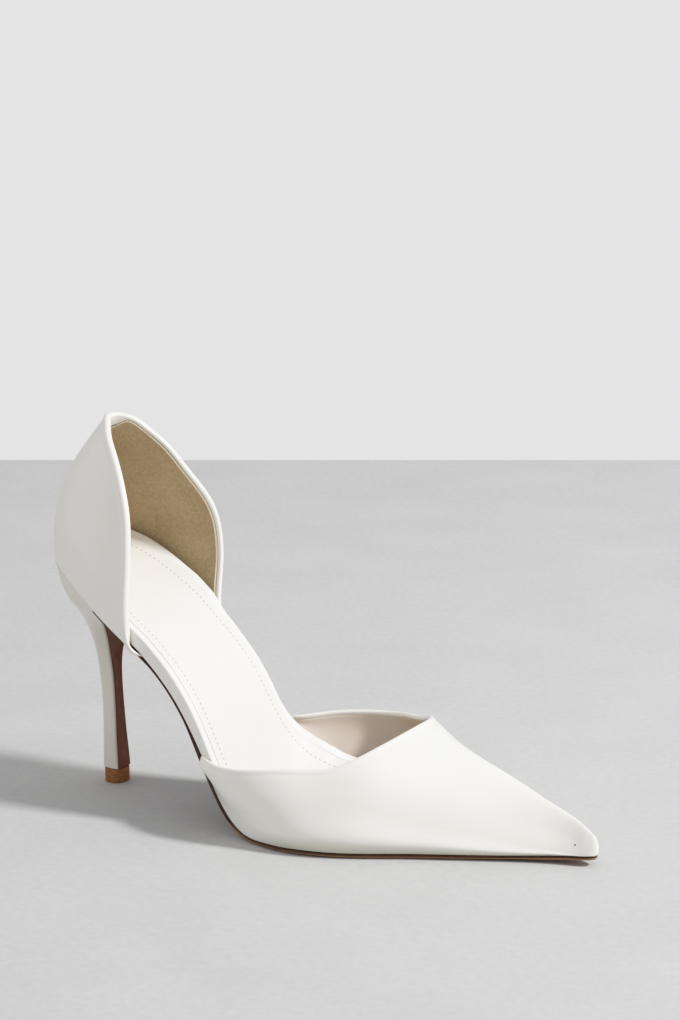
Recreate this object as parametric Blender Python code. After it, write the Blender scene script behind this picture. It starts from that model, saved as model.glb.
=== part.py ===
"""Cut-out court shoe, right foot: a pointed front upper and a separate heel counter on a covered insole
board, with a thin outsole, a slim covered heel, its breast covering and its top piece.

Lengths below are in millimetres: x runs from the heel to the toe, y to the inner side of the foot, z up.
The last is drawn with the middle of the heel tip at x = 0 and y = 0, then moved to the row frame."""

import functools
import math

import bmesh
import bpy
import numpy as np

# Whole shoe
MM = 0.001
FRAME_SHIFT_X = -94.05
FRAME_SHIFT_Y = -2.98
SEAT_GAP = 0.3

# Upper
WALL = 2.0
VAMP_BACK_X = 64.6
VAMP_BACK_SIDE_X = {-1: 62.6, 1: 64.6}
VAMP_SKIVE = 9.0
VAMP_SKIVE_SHARE = 0.45
THROAT_X = 134.0
THROAT_START_X = 114.0
TOE_END_X = 213.2
TOE_INNER_X = 209.6
VAMP_WING_RIBS = 26
VAMP_TOE_RIBS = 26
VAMP_ROWS = 9
RIDGE_FLAT = 0.85
COUNTER_CENTRE_X = 40.0
COUNTER_ROUNDNESS = 2.12
COUNTER_TOP_Z = 152.4
COUNTER_COLUMNS = 56
COUNTER_ROWS = 11
COUNTER_CORNER = 0.985

# Bottom
TREAD_Z = 2.0
OUTSOLE_BACK_X = 9.6
OUTSOLE_BOW_REACH = 24.0
OUTSOLE_COLUMNS = 7
BOARD_INSET = WALL + SEAT_GAP
BOARD_EDGE_ROUND = 1.6
BOARD_TOE_X = 202.0
SOCK_THICK = 1.0
SOCK_INSET = 3.0
SOCK_TOE_X = 194.0
BOTTOM_RIBS = 46

# Heel
BREAST_X = 9.0
BREAST_PLATE = 1.0
HEEL_COLUMNS = 30
BREAST_COLUMNS = 8
HEEL_LEVELS = 18
TOP_PIECE_TALL = 6.0
TOP_PIECE_LIP = -0.1
TOP_PIECE_SET = 0.8
TOP_PIECE_CHAMFER = 0.3

# The line along the middle of the foot where the upper and the board rest on the outsole, how much higher
# the inner edge lies than the middle, and how thick the board and the outsole are there.
PROFILE_COLUMNS = ("x", "z", "twist", "board", "sole")
PROFILE_ROWS = (
    (-24.0, 94.2, 0.0, 5.6, 1.0),
    (-13.0, 90.8, 0.0, 5.6, 1.0),
    (0.0, 84.8, 0.0, 5.6, 1.0),
    (14.0, 76.2, 0.0, 5.6, 1.0),
    (28.0, 67.4, 0.4, 5.6, 1.0),
    (42.0, 56.9, 1.3, 5.4, 0.8),
    (54.0, 43.0, 1.7, 4.8, 1.0),
    (64.0, 26.6, 2.0, 3.8, 1.4),
    (73.0, 12.2, 1.2, 3.4, 1.8),
    (81.0, 4.6, 0.4, 3.4, 1.8),
    (90.0, 2.0, 0.0, 3.0, 1.85),
    (104.0, 2.0, 0.0, 3.0, 1.85),
    (128.0, 2.0, 0.0, 2.8, 1.85),
    (152.0, 2.0, 0.0, 2.4, 1.85),
    (176.0, 2.2, 0.0, 2.0, 1.85),
    (196.0, 3.0, 0.0, 1.8, 1.6),
    (216.0, 4.4, 0.0, 1.8, 1.1),
)
TWIST_MIDDLE = -2.5
TWIST_HALF = 29.0

# How far the seat climbs the counter on the inner and on the outer side.
SEAT_RISE_COLUMNS = ("x", "medial", "lateral")
SEAT_RISE_ROWS = (
    (-26.0, 3.0, 1.2),
    (-14.0, 5.6, 1.2),
    (-4.0, 6.4, 1.0),
    (18.0, 6.0, 0.8),
    (26.0, 4.6, 0.5),
    (34.0, 1.4, 0.2),
    (42.0, 0.0, 0.0),
)
SEAT_RISE_POWER = 2.2
SEAT_FLARE = 0.16

# How far the outsole lies inside the outline: under the counter, along the open waist, under the vamp.
OUTSOLE_INSET_COLUMNS = ("x", "inset")
OUTSOLE_INSET_ROWS = ((24.0, 0.7), (36.0, 2.2), (60.0, 2.2), (66.0, 1.7), (76.0, 0.7), (96.0, 0.0))

# The outer outline of the upper where it meets the outsole: outer side and inner side of the foot.
OUTLINE_COLUMNS = ("x", "lateral", "medial")
OUTLINE_ROWS = (
    (26.0, -30.0, 26.2),
    (40.0, -31.0, 26.4),
    (54.0, -32.4, 26.0),
    (64.0, -33.4, 26.2),
    (73.0, -34.4, 28.2),
    (81.0, -36.2, 31.6),
    (90.0, -39.0, 37.4),
    (100.0, -41.2, 43.2),
    (111.0, -41.2, 46.4),
    (122.0, -38.4, 45.4),
    (135.0, -32.4, 40.4),
    (150.0, -23.8, 34.2),
    (165.0, -16.2, 27.6),
    (180.0, -8.8, 20.4),
    (192.0, -3.2, 14.8),
    (202.0, 0.7, 11.0),
    (209.0, 2.6, 9.4),
    (212.2, 4.0, 8.1),
    (213.3, 5.2, 6.9),
)

# Cross-sections of the front upper: a side point on each side and the ridge between them.
# Behind the throat the side points are the top line, and the ridge is where the instep would be.
VAMP_COLUMNS = ("x", "lat_y", "lat_z", "ridge_y", "ridge_z", "med_y", "med_z")
VAMP_ROWS_TABLE = (
    (62.0, -33.4, 29.4, -1.0, 62.0, 26.4, 29.2),
    (72.0, -37.0, 28.8, 2.0, 64.0, 33.0, 30.9),
    (81.0, -38.8, 29.3, 5.0, 65.0, 38.6, 32.0),
    (91.0, -38.2, 30.4, 8.0, 64.0, 43.2, 32.6),
    (101.0, -34.8, 31.3, 10.5, 61.5, 45.6, 33.0),
    (111.0, -30.0, 31.4, 12.4, 57.8, 44.0, 34.0),
    (121.0, -25.6, 31.8, 13.4, 51.4, 39.6, 34.2),
    (131.0, -21.6, 30.8, 13.9, 43.6, 34.8, 32.4),
    (140.0, -17.4, 27.9, 13.8, 38.4, 31.0, 28.8),
    (152.0, -11.6, 23.8, 13.4, 33.8, 26.8, 24.4),
    (166.0, -5.4, 19.9, 12.6, 29.3, 22.0, 20.2),
    (180.0, 0.0, 16.2, 11.6, 24.5, 17.2, 16.3),
    (192.0, 3.0, 13.0, 10.8, 20.0, 13.6, 13.2),
    (202.0, 4.4, 10.6, 9.2, 15.9, 10.8, 10.6),
    (209.0, 4.2, 9.0, 7.2, 12.8, 9.2, 9.0),
    (212.2, 4.7, 8.2, 6.4, 10.8, 7.8, 8.2),
    (213.3, 5.6, 7.2, 6.1, 8.6, 6.6, 7.2),
)

# Level sections of the heel counter: the back and the half-widths at the height z.
COUNTER_COLUMNS_TABLE = ("z", "back_x", "lateral", "medial")
COUNTER_ROWS_TABLE = (
    (58.0, -9.0, -29.6, 25.6),
    (66.0, -14.0, -30.6, 26.6),
    (74.0, -18.6, -31.4, 28.0),
    (82.0, -21.8, -31.6, 29.8),
    (90.0, -23.8, -31.0, 31.2),
    (98.0, -25.0, -29.4, 31.4),
    (106.0, -25.2, -27.4, 30.4),
    (114.0, -24.0, -24.8, 27.8),
    (122.0, -21.4, -22.2, 23.9),
    (130.0, -17.0, -19.8, 19.9),
    (138.0, -11.2, -17.8, 16.9),
    (146.0, -4.6, -15.6, 13.8),
    (153.6, 1.6, -12.2, 9.8),
)

# The front edge of the counter on each side, from its bottom corner to the top.
COUNTER_EDGE_COLUMNS = ("step", "lat_x", "lat_z", "med_x", "med_z")
COUNTER_EDGE_ROWS = (
    (0.0, 28.2, 66.4, 34.8, 62.6),
    (0.15, 27.6, 79.0, 33.2, 76.6),
    (0.3, 27.8, 91.0, 32.8, 89.6),
    (0.45, 27.0, 103.0, 32.2, 102.4),
    (0.6, 24.3, 115.6, 30.2, 115.0),
    (0.75, 18.7, 128.6, 24.7, 127.6),
    (0.88, 11.2, 140.8, 17.0, 140.0),
    (0.95, 6.2, 147.2, 10.8, 146.8),
    (0.985, 3.0, 151.2, 5.4, 151.2),
    (1.0, 1.4, COUNTER_TOP_Z, 1.4, COUNTER_TOP_Z),
)

# Rings of the heel from the top piece upwards; the seat above them follows the profile and the outline.
HEEL_RING_COLUMNS = ("z", "tilt", "back_x", "front_x", "half_width", "hollow")
HEEL_RING_ROWS = (
    (6.3, 0.0, -5.8, 2.2, 4.9, 0.0),
    (12.0, 0.0, -5.75, 1.8, 4.65, 0.05),
    (19.0, 0.0, -5.7, 1.3, 4.3, 0.1),
    (28.0, 0.0, -5.75, 0.85, 3.85, 0.15),
    (37.0, 0.1, -6.2, 0.4, 3.6, 0.2),
    (46.0, 0.3, -7.1, 0.0, 3.75, 0.35),
    (55.0, 0.8, -8.3, -0.2, 5.1, 0.55),
    (64.0, 1.8, -10.4, 0.8, 8.3, 0.9),
    (73.0, 3.7, -13.4, 2.9, 13.8, 1.6),
    (82.0, 7.6, -17.7, 6.0, 20.6, 2.4),
)
HEEL_ROUNDNESS = 2.5
SEAT_INSET = 0.4
SEAT_HOLLOW = 3.0

COLOURS = {
    "white_patent": (0.90, 0.89, 0.85),
    "white_cover": (0.90, 0.90, 0.87),
    "white_sock": (0.88, 0.87, 0.85),
    "brown_sole": (0.16, 0.08, 0.045),
    "brown_breast": (0.12, 0.05, 0.03),
    "tan_top_piece": (0.26, 0.11, 0.05),
}


def table(columns, rows):
    values = np.array(rows, float)
    return {name: values[:, place] for place, name in enumerate(columns)}


def spline(knots, values):
    """Natural cubic spline through values (one row per knot), as a function of the knot."""
    knots = np.asarray(knots, float)
    values = np.asarray(values, float)
    flat = values.reshape(len(knots), -1)
    step = np.diff(knots)
    slope = np.diff(flat, axis=0) / step[:, None]
    matrix = np.eye(len(knots))
    right = np.zeros_like(flat)
    for row in range(1, len(knots) - 1):
        matrix[row, row - 1] = step[row - 1]
        matrix[row, row] = 2.0 * (step[row - 1] + step[row])
        matrix[row, row + 1] = step[row]
        right[row] = 6.0 * (slope[row] - slope[row - 1])
    bend = np.linalg.solve(matrix, right)

    def at(where):
        where = min(max(float(where), knots[0]), knots[-1])
        low = int(np.clip(np.searchsorted(knots, where) - 1, 0, len(step) - 1))
        a = (knots[low + 1] - where) / step[low]
        b = 1.0 - a
        curve = (a**3 - a) * bend[low] + (b**3 - b) * bend[low + 1]
        found = a * flat[low] + b * flat[low + 1] + curve * step[low] ** 2 / 6.0
        return found.reshape(values.shape[1:]) if values.ndim > 1 else float(found[0])

    return at


def spline_table(columns, rows, key):
    """One spline per column over the key column."""
    data = table(columns, rows)
    return {name: spline(data[key], data[name]) for name in columns if name != key}


PROFILE = table(PROFILE_COLUMNS, PROFILE_ROWS)
PROFILE_LINE = spline(PROFILE["x"], PROFILE["z"])
SEAT_RISE = table(SEAT_RISE_COLUMNS, SEAT_RISE_ROWS)
OUTSOLE_INSET = table(OUTSOLE_INSET_COLUMNS, OUTSOLE_INSET_ROWS)
COUNTER = spline_table(COUNTER_COLUMNS_TABLE, COUNTER_ROWS_TABLE, "z")
COUNTER_EDGE = spline_table(COUNTER_EDGE_COLUMNS, COUNTER_EDGE_ROWS, "step")


def chord_spline(columns, rows):
    """Splines of every column over the length of the table's own line, and the length for a given x."""
    data = table(columns, rows)
    points = np.stack([data[name] for name in columns], axis=1)
    reach = np.linalg.norm(np.diff(points[:, :2], axis=0), axis=1)
    length = np.concatenate([[0.0], np.cumsum(reach)])
    curves = {name: spline(length, data[name]) for name in columns}
    fine = np.linspace(0.0, float(length[-1]), 3000)
    along = np.array([curves["x"](where) for where in fine])

    def length_at(x):
        return float(np.interp(x, along, fine))

    return curves, length_at


OUTLINE, OUTLINE_LENGTH = chord_spline(OUTLINE_COLUMNS, OUTLINE_ROWS)
VAMP, VAMP_LENGTH = chord_spline(VAMP_COLUMNS, VAMP_ROWS_TABLE)


def profile_z(x):
    """Height of the profile at x: the tread under the ball of the foot is flat."""
    return max(PROFILE_LINE(x), TREAD_Z)


def profile_thick(name, x):
    """Thickness of the board or of the sole at x."""
    return float(np.interp(x, PROFILE["x"], PROFILE[name]))


@functools.lru_cache(maxsize=None)
def slope_at(x):
    return (profile_z(x + 0.5) - profile_z(x - 0.5)) / 1.0


def normal_at(x):
    slope = slope_at(x)
    size = math.hypot(1.0, slope)
    return -slope / size, 1.0 / size


def twist_z(x, y):
    """How much higher the bottom lies at y than in the middle of the foot."""
    return profile_thick("twist", x) * (y - TWIST_MIDDLE) / TWIST_HALF


def floor_z(x, y, rise=0.0):
    """Height of the surface that runs the given distance above the bottom, at x and y."""
    return profile_z(x) + twist_z(x, y) + rise * math.hypot(1.0, slope_at(x))


def seat_rise(x, side, part):
    """How far the seat climbs at x: part runs from 0 in the middle of the foot to 1 at its edge."""
    name = "medial" if side > 0 else "lateral"
    return float(np.interp(x, SEAT_RISE["x"], SEAT_RISE[name])) * part**SEAT_RISE_POWER


def power(value, exponent):
    return math.copysign(abs(value) ** exponent, value)


def counter_section(turn, z):
    """Point of the counter's outside: turn runs from -1 (outer side) over 0 (back) to 1 (inner side)."""
    angle = turn * math.pi / 2.0
    exponent = 2.0 / COUNTER_ROUNDNESS
    side = COUNTER["medial"](z) if turn > 0.0 else -COUNTER["lateral"](z)
    back = COUNTER["back_x"](z)
    x = COUNTER_CENTRE_X - (COUNTER_CENTRE_X - back) * abs(math.cos(angle)) ** exponent
    middle = 0.5 * (COUNTER["medial"](z) + COUNTER["lateral"](z)) * (1.0 - abs(turn)) ** 2
    y = middle * 0.5 + side * power(math.sin(angle), exponent)
    return np.array([x, y, z])


def counter_turn(x, z, side):
    """The turn at which the section at height z reaches x on the given side."""
    low, high = 0.0, 1.0
    for _ in range(40):
        middle = 0.5 * (low + high)
        low, high = (middle, high) if counter_section(side * middle, z)[0] < x else (low, middle)
    return side * 0.5 * (low + high)


def counter_foot(turn):
    """Where the counter's outside meets the profile at this turn."""
    z = 80.0
    for _ in range(30):
        x, y, _ = counter_section(turn, z)
        z = 0.5 * z + 0.5 * floor_z(x, y, SEAT_GAP / 2.0)
    return z


def heel_outline(count):
    """Outline of the counter at its foot, from the outer side round the back to the inner side."""
    turns = np.linspace(-1.0, 1.0, count)
    return np.array([counter_section(turn, counter_foot(turn)) for turn in turns])


HEEL_OUTLINE = heel_outline(161)
HEEL_BACK_X = float(HEEL_OUTLINE[:, 0].min())


def heel_half(side):
    points = HEEL_OUTLINE[80:] if side > 0 else HEEL_OUTLINE[80::-1]
    return points[:, 0], points[:, 1]


HEEL_SIDES = {side: heel_half(side) for side in (-1, 1)}


@functools.lru_cache(maxsize=None)
def outline_y(x, side):
    """Outline of the upper's foot at x, on the outer (-1) or the inner (1) side."""
    name = "medial" if side > 0 else "lateral"
    heel = float(np.interp(x, *HEEL_SIDES[side]))
    front = OUTLINE[name](OUTLINE_LENGTH(max(x, OUTLINE_ROWS[0][0])))
    blend = min(max((x - 27.0) / 9.0, 0.0), 1.0)
    blend = blend * blend * (3.0 - 2.0 * blend)
    return heel * (1.0 - blend) + front * blend


def inset_outline(inset, low_x, high_x, count):
    """Ribs (x, outer y, inner y) of the outline drawn in by inset(x), close together at both ends."""
    fine = np.linspace(HEEL_BACK_X + 0.01, TOE_END_X, 600)
    sides = {}
    for side in (-1, 1):
        edge = np.array([(x, outline_y(x, side)) for x in fine])
        run = np.gradient(edge, axis=0)
        run /= np.linalg.norm(run, axis=1)[:, None]
        inward = np.stack([-run[:, 1], run[:, 0]], axis=1) * -side
        moved = edge + inward * np.array([inset(x) for x in fine])[:, None]
        order = np.argsort(moved[:, 0], kind="stable")
        sides[side] = moved[order]
    turn = np.linspace(0.0, math.pi, count)
    ends = (low_x + high_x) / 2.0 - (high_x - low_x) / 2.0 * np.cos(turn)
    stations = 0.55 * ends + 0.45 * np.linspace(low_x, high_x, count)
    outer = np.interp(stations, sides[-1][:, 0], sides[-1][:, 1])
    inner = np.interp(stations, sides[1][:, 0], sides[1][:, 1])
    return stations, outer, inner


def make(name, points, faces, material):
    """A closed object of the given faces, with its normals outward."""
    points = (np.asarray(points, float) + (FRAME_SHIFT_X, FRAME_SHIFT_Y, 0.0)) * MM
    mesh = bpy.data.meshes.new(name)
    mesh.from_pydata([tuple(point) for point in points], [], faces)
    work = bmesh.new()
    work.from_mesh(mesh)
    bmesh.ops.recalc_face_normals(work, faces=work.faces)
    if work.calc_volume(signed=True) < 0.0:
        bmesh.ops.reverse_faces(work, faces=work.faces)
    work.to_mesh(mesh)
    work.free()
    item = bpy.data.objects.new(name, mesh)
    bpy.context.scene.collection.objects.link(item)
    mesh.materials.append(material)
    return item


def paint(name):
    material = bpy.data.materials.new(name)
    material.use_nodes = True
    shader = material.node_tree.nodes["Principled BSDF"]
    shader.inputs["Base Color"].default_value = (*COLOURS[name], 1.0)
    shader.inputs["Roughness"].default_value = 0.3
    return material


def loft(name, rings, material):
    """Solid through rings of equal size, closed with a face at each end."""
    count = len(rings[0])
    points = [point for ring in rings for point in ring]
    faces = [list(range(count))[::-1]]
    for level in range(len(rings) - 1):
        for place in range(count):
            after = (place + 1) % count
            low = level * count
            faces.append([low + place, low + after, low + count + after, low + count + place])
    last = (len(rings) - 1) * count
    faces.append([last + place for place in range(count)])
    return make(name, points, faces, material)


def rib(x, pairs):
    """Points of one rib: each pair is a y and a height along the profile's normal at x."""
    across, up = normal_at(x)
    base = profile_z(x)
    return [(x + rise * across, y, base + twist_z(x, y) + rise * up) for y, rise in pairs]


def outsole_inset(x):
    return float(np.interp(x, OUTSOLE_INSET["x"], OUTSOLE_INSET["inset"]))


def build_outsole(material):
    """The back edge is bowed to follow the heel's breast."""
    stations, outer, inner = inset_outline(outsole_inset, OUTSOLE_BACK_X, TOE_END_X, BOTTOM_RIBS + 16)
    top = -SEAT_GAP / 2.0
    rings = []
    for x, low, high in zip(stations, outer, inner):
        base = top - profile_thick("sole", x)
        fade = max(1.0 - (x - OUTSOLE_BACK_X) / OUTSOLE_BOW_REACH, 0.0) ** 2
        pairs = []
        for step in np.linspace(-1.0, 1.0, OUTSOLE_COLUMNS):
            y = 0.5 * (low + high) + 0.5 * (high - low) * step
            pairs.append((x - SEAT_HOLLOW * fade * (1.0 - step * step), y))
        upper = [rib(place, [(y, top)])[0] for place, y in pairs]
        lower = [rib(place, [(y, base)])[0] for place, y in pairs[::-1]]
        rings.append(upper + lower)
    return loft("outsole", rings, material)


def lean_in(x):
    """How far the board and the sock keep clear of the lining towards the toe."""
    return min(max((x - 110.0) / 40.0, 0.0), 1.0)


def seat_point(x, y, low, high, height):
    """Point of the seat at y between the edges: it climbs and flares towards the counter."""
    middle = 0.5 * (low + high)
    side = 1 if y > middle else -1
    rise = seat_rise(x, side, min(abs(y - middle) / (0.5 * (high - low)), 1.0))
    return y + side * SEAT_FLARE * rise, height + rise


def build_insole(material):
    """A board with a raised rim, in which the sock lies."""
    low_x = HEEL_BACK_X + BOARD_INSET + 0.2
    stations, outer, inner = inset_outline(lambda x: BOARD_INSET, low_x, BOARD_TOE_X, BOTTOM_RIBS)
    rings = []
    for x, low, high in zip(stations, outer, inner):
        low, high = low + 0.9 * lean_in(x), high - 0.9 * lean_in(x)
        half = 0.5 * (high - low)
        thick = profile_thick("board", x)
        edge = min(BOARD_EDGE_ROUND, 0.2 * half)
        rim = min(SOCK_INSET - SEAT_GAP, 0.5 * half)
        bed = thick - SOCK_THICK
        left = ((0.0, thick - edge), (0.3 * edge, thick - 0.3 * edge), (edge, thick), (rim, thick), (rim, bed))
        marks = [(low + reach, height) for reach, height in left]
        marks += [(y, bed) for y in np.linspace(low + rim, high - rim, 9)[1:-1]]
        marks += [(high - reach, height) for reach, height in left[::-1]]
        upper = [seat_point(x, y, low, high, height) for y, height in marks]
        under = [(y, SEAT_GAP / 2.0) for y in np.linspace(high, low, 5)]
        rings.append(rib(x, upper + under))
    return loft("insole", rings, material)


def build_sock(material):
    """The sock lies in the board's rim and stands a little proud of it by the gap under it."""
    inset = BOARD_INSET + SOCK_INSET
    low_x = HEEL_BACK_X + inset + 1.2
    stations, outer, inner = inset_outline(lambda x: inset, low_x, SOCK_TOE_X, BOTTOM_RIBS)
    rings = []
    for x, low, high in zip(stations, outer, inner):
        low, high = low + 1.6 * lean_in(x), high - 1.6 * lean_in(x)
        base = profile_thick("board", x) - SOCK_THICK + SEAT_GAP
        ys = np.linspace(low, high, 9)
        edges = low - SOCK_INSET, high + SOCK_INSET
        upper = [seat_point(x, y, *edges, base + SOCK_THICK) for y in ys]
        lower = [seat_point(x, y, *edges, base) for y in ys[::-1]]
        rings.append(rib(x, upper + lower))
    return loft("sock", rings, material)


def hermite(start, end, start_run, end_run, part):
    square, cube = part * part, part * part * part
    return (
        (2.0 * cube - 3.0 * square + 1.0) * start
        + (cube - 2.0 * square + part) * start_run
        + (3.0 * square - 2.0 * cube) * end
        + (cube - square) * end_run
    )


@functools.lru_cache(maxsize=None)
def vamp_marks(x, side):
    """Foot, side point and ridge of the section at x, each as y and z."""
    key = VAMP_LENGTH(x)
    name = "med" if side > 0 else "lat"
    foot_y = outline_y(x, side)
    foot = np.array([foot_y, floor_z(x, foot_y, SEAT_GAP / 2.0)])
    knee = np.array([VAMP[name + "_y"](key), VAMP[name + "_z"](key)])
    ridge = np.array([VAMP["ridge_y"](key), VAMP["ridge_z"](key)])
    return foot, knee, ridge


def vamp_section(x, side, climb):
    """Point of the front upper's outside: climb runs from 0 at the outsole over 0.5 at the side point
    to 1 on the ridge."""
    foot, knee, ridge = vamp_marks(x, side)
    knee_run = 0.5 * (ridge - foot)
    knee_run[0] *= 0.9
    foot_run = 0.6 * (knee - foot) + np.array([0.0, 0.55 * abs(knee[1] - foot[1])])
    ridge_run = np.array([RIDGE_FLAT * (ridge[0] - knee[0]), 0.0])
    if climb <= 0.5:
        y, z = hermite(foot, knee, foot_run, knee_run, climb * 2.0)
    else:
        y, z = hermite(knee, ridge, knee_run, ridge_run, climb * 2.0 - 1.0)
    return np.array([x, y, z])


def topline_climb(x):
    """How far up the section the top line lies at x: the side point, then up to the throat."""
    if x >= THROAT_X:
        return 1.0
    if x <= THROAT_START_X:
        return 0.5
    part = (x - THROAT_START_X) / (THROAT_X - THROAT_START_X)
    return 0.5 + 0.5 * (1.0 - math.sqrt(max(1.0 - part * part, 0.0)))


def vamp_point(x, side, row, depth):
    """Row runs from 0 at the outsole to 1 at the top line or ridge; depth is how far inside the wall.
    The wall is skived towards the back corner."""
    climb = row * topline_climb(x)
    point = vamp_section(x, side, climb)
    if depth == 0.0:
        return point
    part = min(max((x - VAMP_BACK_SIDE_X[side]) / VAMP_SKIVE, 0.0), 1.0)
    depth *= VAMP_SKIVE_SHARE + (1.0 - VAMP_SKIVE_SHARE) * part * (2.0 - part)
    ahead = vamp_section(x + 0.3, side, climb) - vamp_section(x - 0.3, side, climb)
    low, high = max(climb - 0.01, 0.0), min(climb + 0.01, 1.0)
    up = vamp_section(x, side, high) - vamp_section(x, side, low)
    normal = np.cross(ahead, up) * side
    normal /= np.linalg.norm(normal)
    if climb == 1.0:
        normal[1] = 0.0
        normal /= np.linalg.norm(normal)
    inner = point + normal * depth
    if row == 0.0:
        inner[0] = x
        inner[1] = point[1] - side * depth
        inner[2] = floor_z(x, inner[1], SEAT_GAP / 2.0)
    return inner


def vamp_stations():
    turn = np.linspace(0.0, math.pi / 2.0, VAMP_WING_RIBS)
    wing = VAMP_BACK_X + (THROAT_X - VAMP_BACK_X) * (0.5 * np.sin(turn) + 0.5 * turn / (math.pi / 2.0))
    turn = np.linspace(0.0, math.pi / 2.0, VAMP_TOE_RIBS + 1)[1:]
    toe = THROAT_X + (TOE_END_X - THROAT_X) * (0.7 * np.sin(turn) + 0.3 * turn / (math.pi / 2.0))
    return list(wing), list(toe)


def side_x(x, side):
    """The station as it lies on the given side: the two back corners are not level."""
    if x >= THROAT_X:
        return x
    share = (THROAT_X - VAMP_BACK_SIDE_X[side]) / (THROAT_X - VAMP_BACK_X)
    return THROAT_X - (THROAT_X - x) * share


def inner_x(x):
    """Stations of the inside, drawn back from the toe by the wall."""
    part = min(max((x - 170.0) / (TOE_END_X - 170.0), 0.0), 1.0)
    return x - (TOE_END_X - TOE_INNER_X) * part * part


def build_vamp(material):
    wing, toe = vamp_stations()
    rows = np.linspace(0.0, 1.0, VAMP_ROWS)
    points, faces, index = [], [], {}

    def vertex(station, x, side, row, depth):
        shared = row == VAMP_ROWS - 1 and x >= THROAT_X - 1e-6
        key = (station, 0 if shared else side, row, depth)
        if key not in index:
            index[key] = len(points)
            place = side_x(inner_x(x) if depth else x, side)
            points.append(vamp_point(place, side, rows[row], WALL if depth else 0.0))
        return index[key]

    stations = wing + toe
    for side in (-1, 1):
        for depth in (0, 1):
            for station in range(len(stations) - 1):
                for row in range(VAMP_ROWS - 1):
                    faces.append(
                        [
                            vertex(station, stations[station], side, row, depth),
                            vertex(station + 1, stations[station + 1], side, row, depth),
                            vertex(station + 1, stations[station + 1], side, row + 1, depth),
                            vertex(station, stations[station], side, row + 1, depth),
                        ]
                    )
        for station in range(len(stations) - 1):
            first, second = stations[station], stations[station + 1]
            rims = [0] if second > THROAT_X + 1e-6 else [0, VAMP_ROWS - 1]
            for row in rims:
                faces.append(
                    [
                        vertex(station, first, side, row, 0),
                        vertex(station + 1, second, side, row, 0),
                        vertex(station + 1, second, side, row, 1),
                        vertex(station, first, side, row, 1),
                    ]
                )
        for row in range(VAMP_ROWS - 1):
            faces.append(
                [
                    vertex(0, stations[0], side, row, 0),
                    vertex(0, stations[0], side, row + 1, 0),
                    vertex(0, stations[0], side, row + 1, 1),
                    vertex(0, stations[0], side, row, 1),
                ]
            )
    last = len(stations) - 1
    for depth in (0, 1):
        nose = [vertex(last, stations[last], -1, row, depth) for row in range(VAMP_ROWS)]
        nose += [vertex(last, stations[last], 1, row, depth) for row in range(VAMP_ROWS - 2, -1, -1)]
        faces.append(nose)
    faces.append(
        [
            vertex(last, stations[last], -1, 0, 0),
            vertex(last, stations[last], 1, 0, 0),
            vertex(last, stations[last], 1, 0, 1),
            vertex(last, stations[last], -1, 0, 1),
        ]
    )
    return make("vamp", points, faces, material)


def counter_edge(part):
    """Front edge of the counter: part runs from -1 (outer corner) over 0 (top) to 1 (inner corner)."""
    side = "med" if part > 0.0 else "lat"
    step = 1.0 - abs(part)
    z = COUNTER_EDGE[side + "_z"](step)
    x = COUNTER_EDGE[side + "_x"](step)
    if abs(part) < 1e-9:
        return 0.0, COUNTER_TOP_Z
    return counter_turn(x, z, 1.0 if part > 0.0 else -1.0), z


def counter_edge_parts(count):
    """Parts that divide each half of the front edge into equal lengths, the corners left a little blunt."""
    found = []
    for side in (-1.0, 1.0):
        fine = np.linspace(0.0, 1.0, 240) ** 2 * COUNTER_CORNER
        line = np.array([counter_section(*counter_edge(side * part)) for part in fine])
        length = np.concatenate([[0.0], np.cumsum(np.linalg.norm(np.diff(line, axis=0), axis=1))])
        steps = np.interp(np.linspace(0.0, length[-1], count // 2 + 1), length, fine)
        found.append(steps)
    return np.concatenate([-found[0][::-1], found[1][1:]])


def counter_point(share, part, row, depth):
    """Share runs from -1 to 1 along the foot and part along the edge, row from the foot to the edge."""
    corner = counter_edge(math.copysign(COUNTER_CORNER, share))[0]
    foot_turn = corner * abs(share)
    foot_z = counter_foot(foot_turn)
    top_turn, top_z = counter_edge(part)
    turn = foot_turn + (top_turn - foot_turn) * row
    z = foot_z + (top_z - foot_z) * row
    point = counter_section(turn, z)
    if depth == 0.0:
        return point
    around = counter_section(turn + 0.01, z) - counter_section(turn - 0.01, z)
    up = counter_section(turn, z + 0.5) - counter_section(turn, z - 0.5)
    normal = np.cross(around, up)
    normal /= np.linalg.norm(normal)
    inner = point + normal * depth
    if row == 0.0:
        flat = np.array([normal[0], normal[1]])
        flat /= np.linalg.norm(flat)
        inner[:2] = point[:2] + flat * depth
        inner[2] = floor_z(inner[0], inner[1], SEAT_GAP / 2.0)
    return inner


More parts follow.
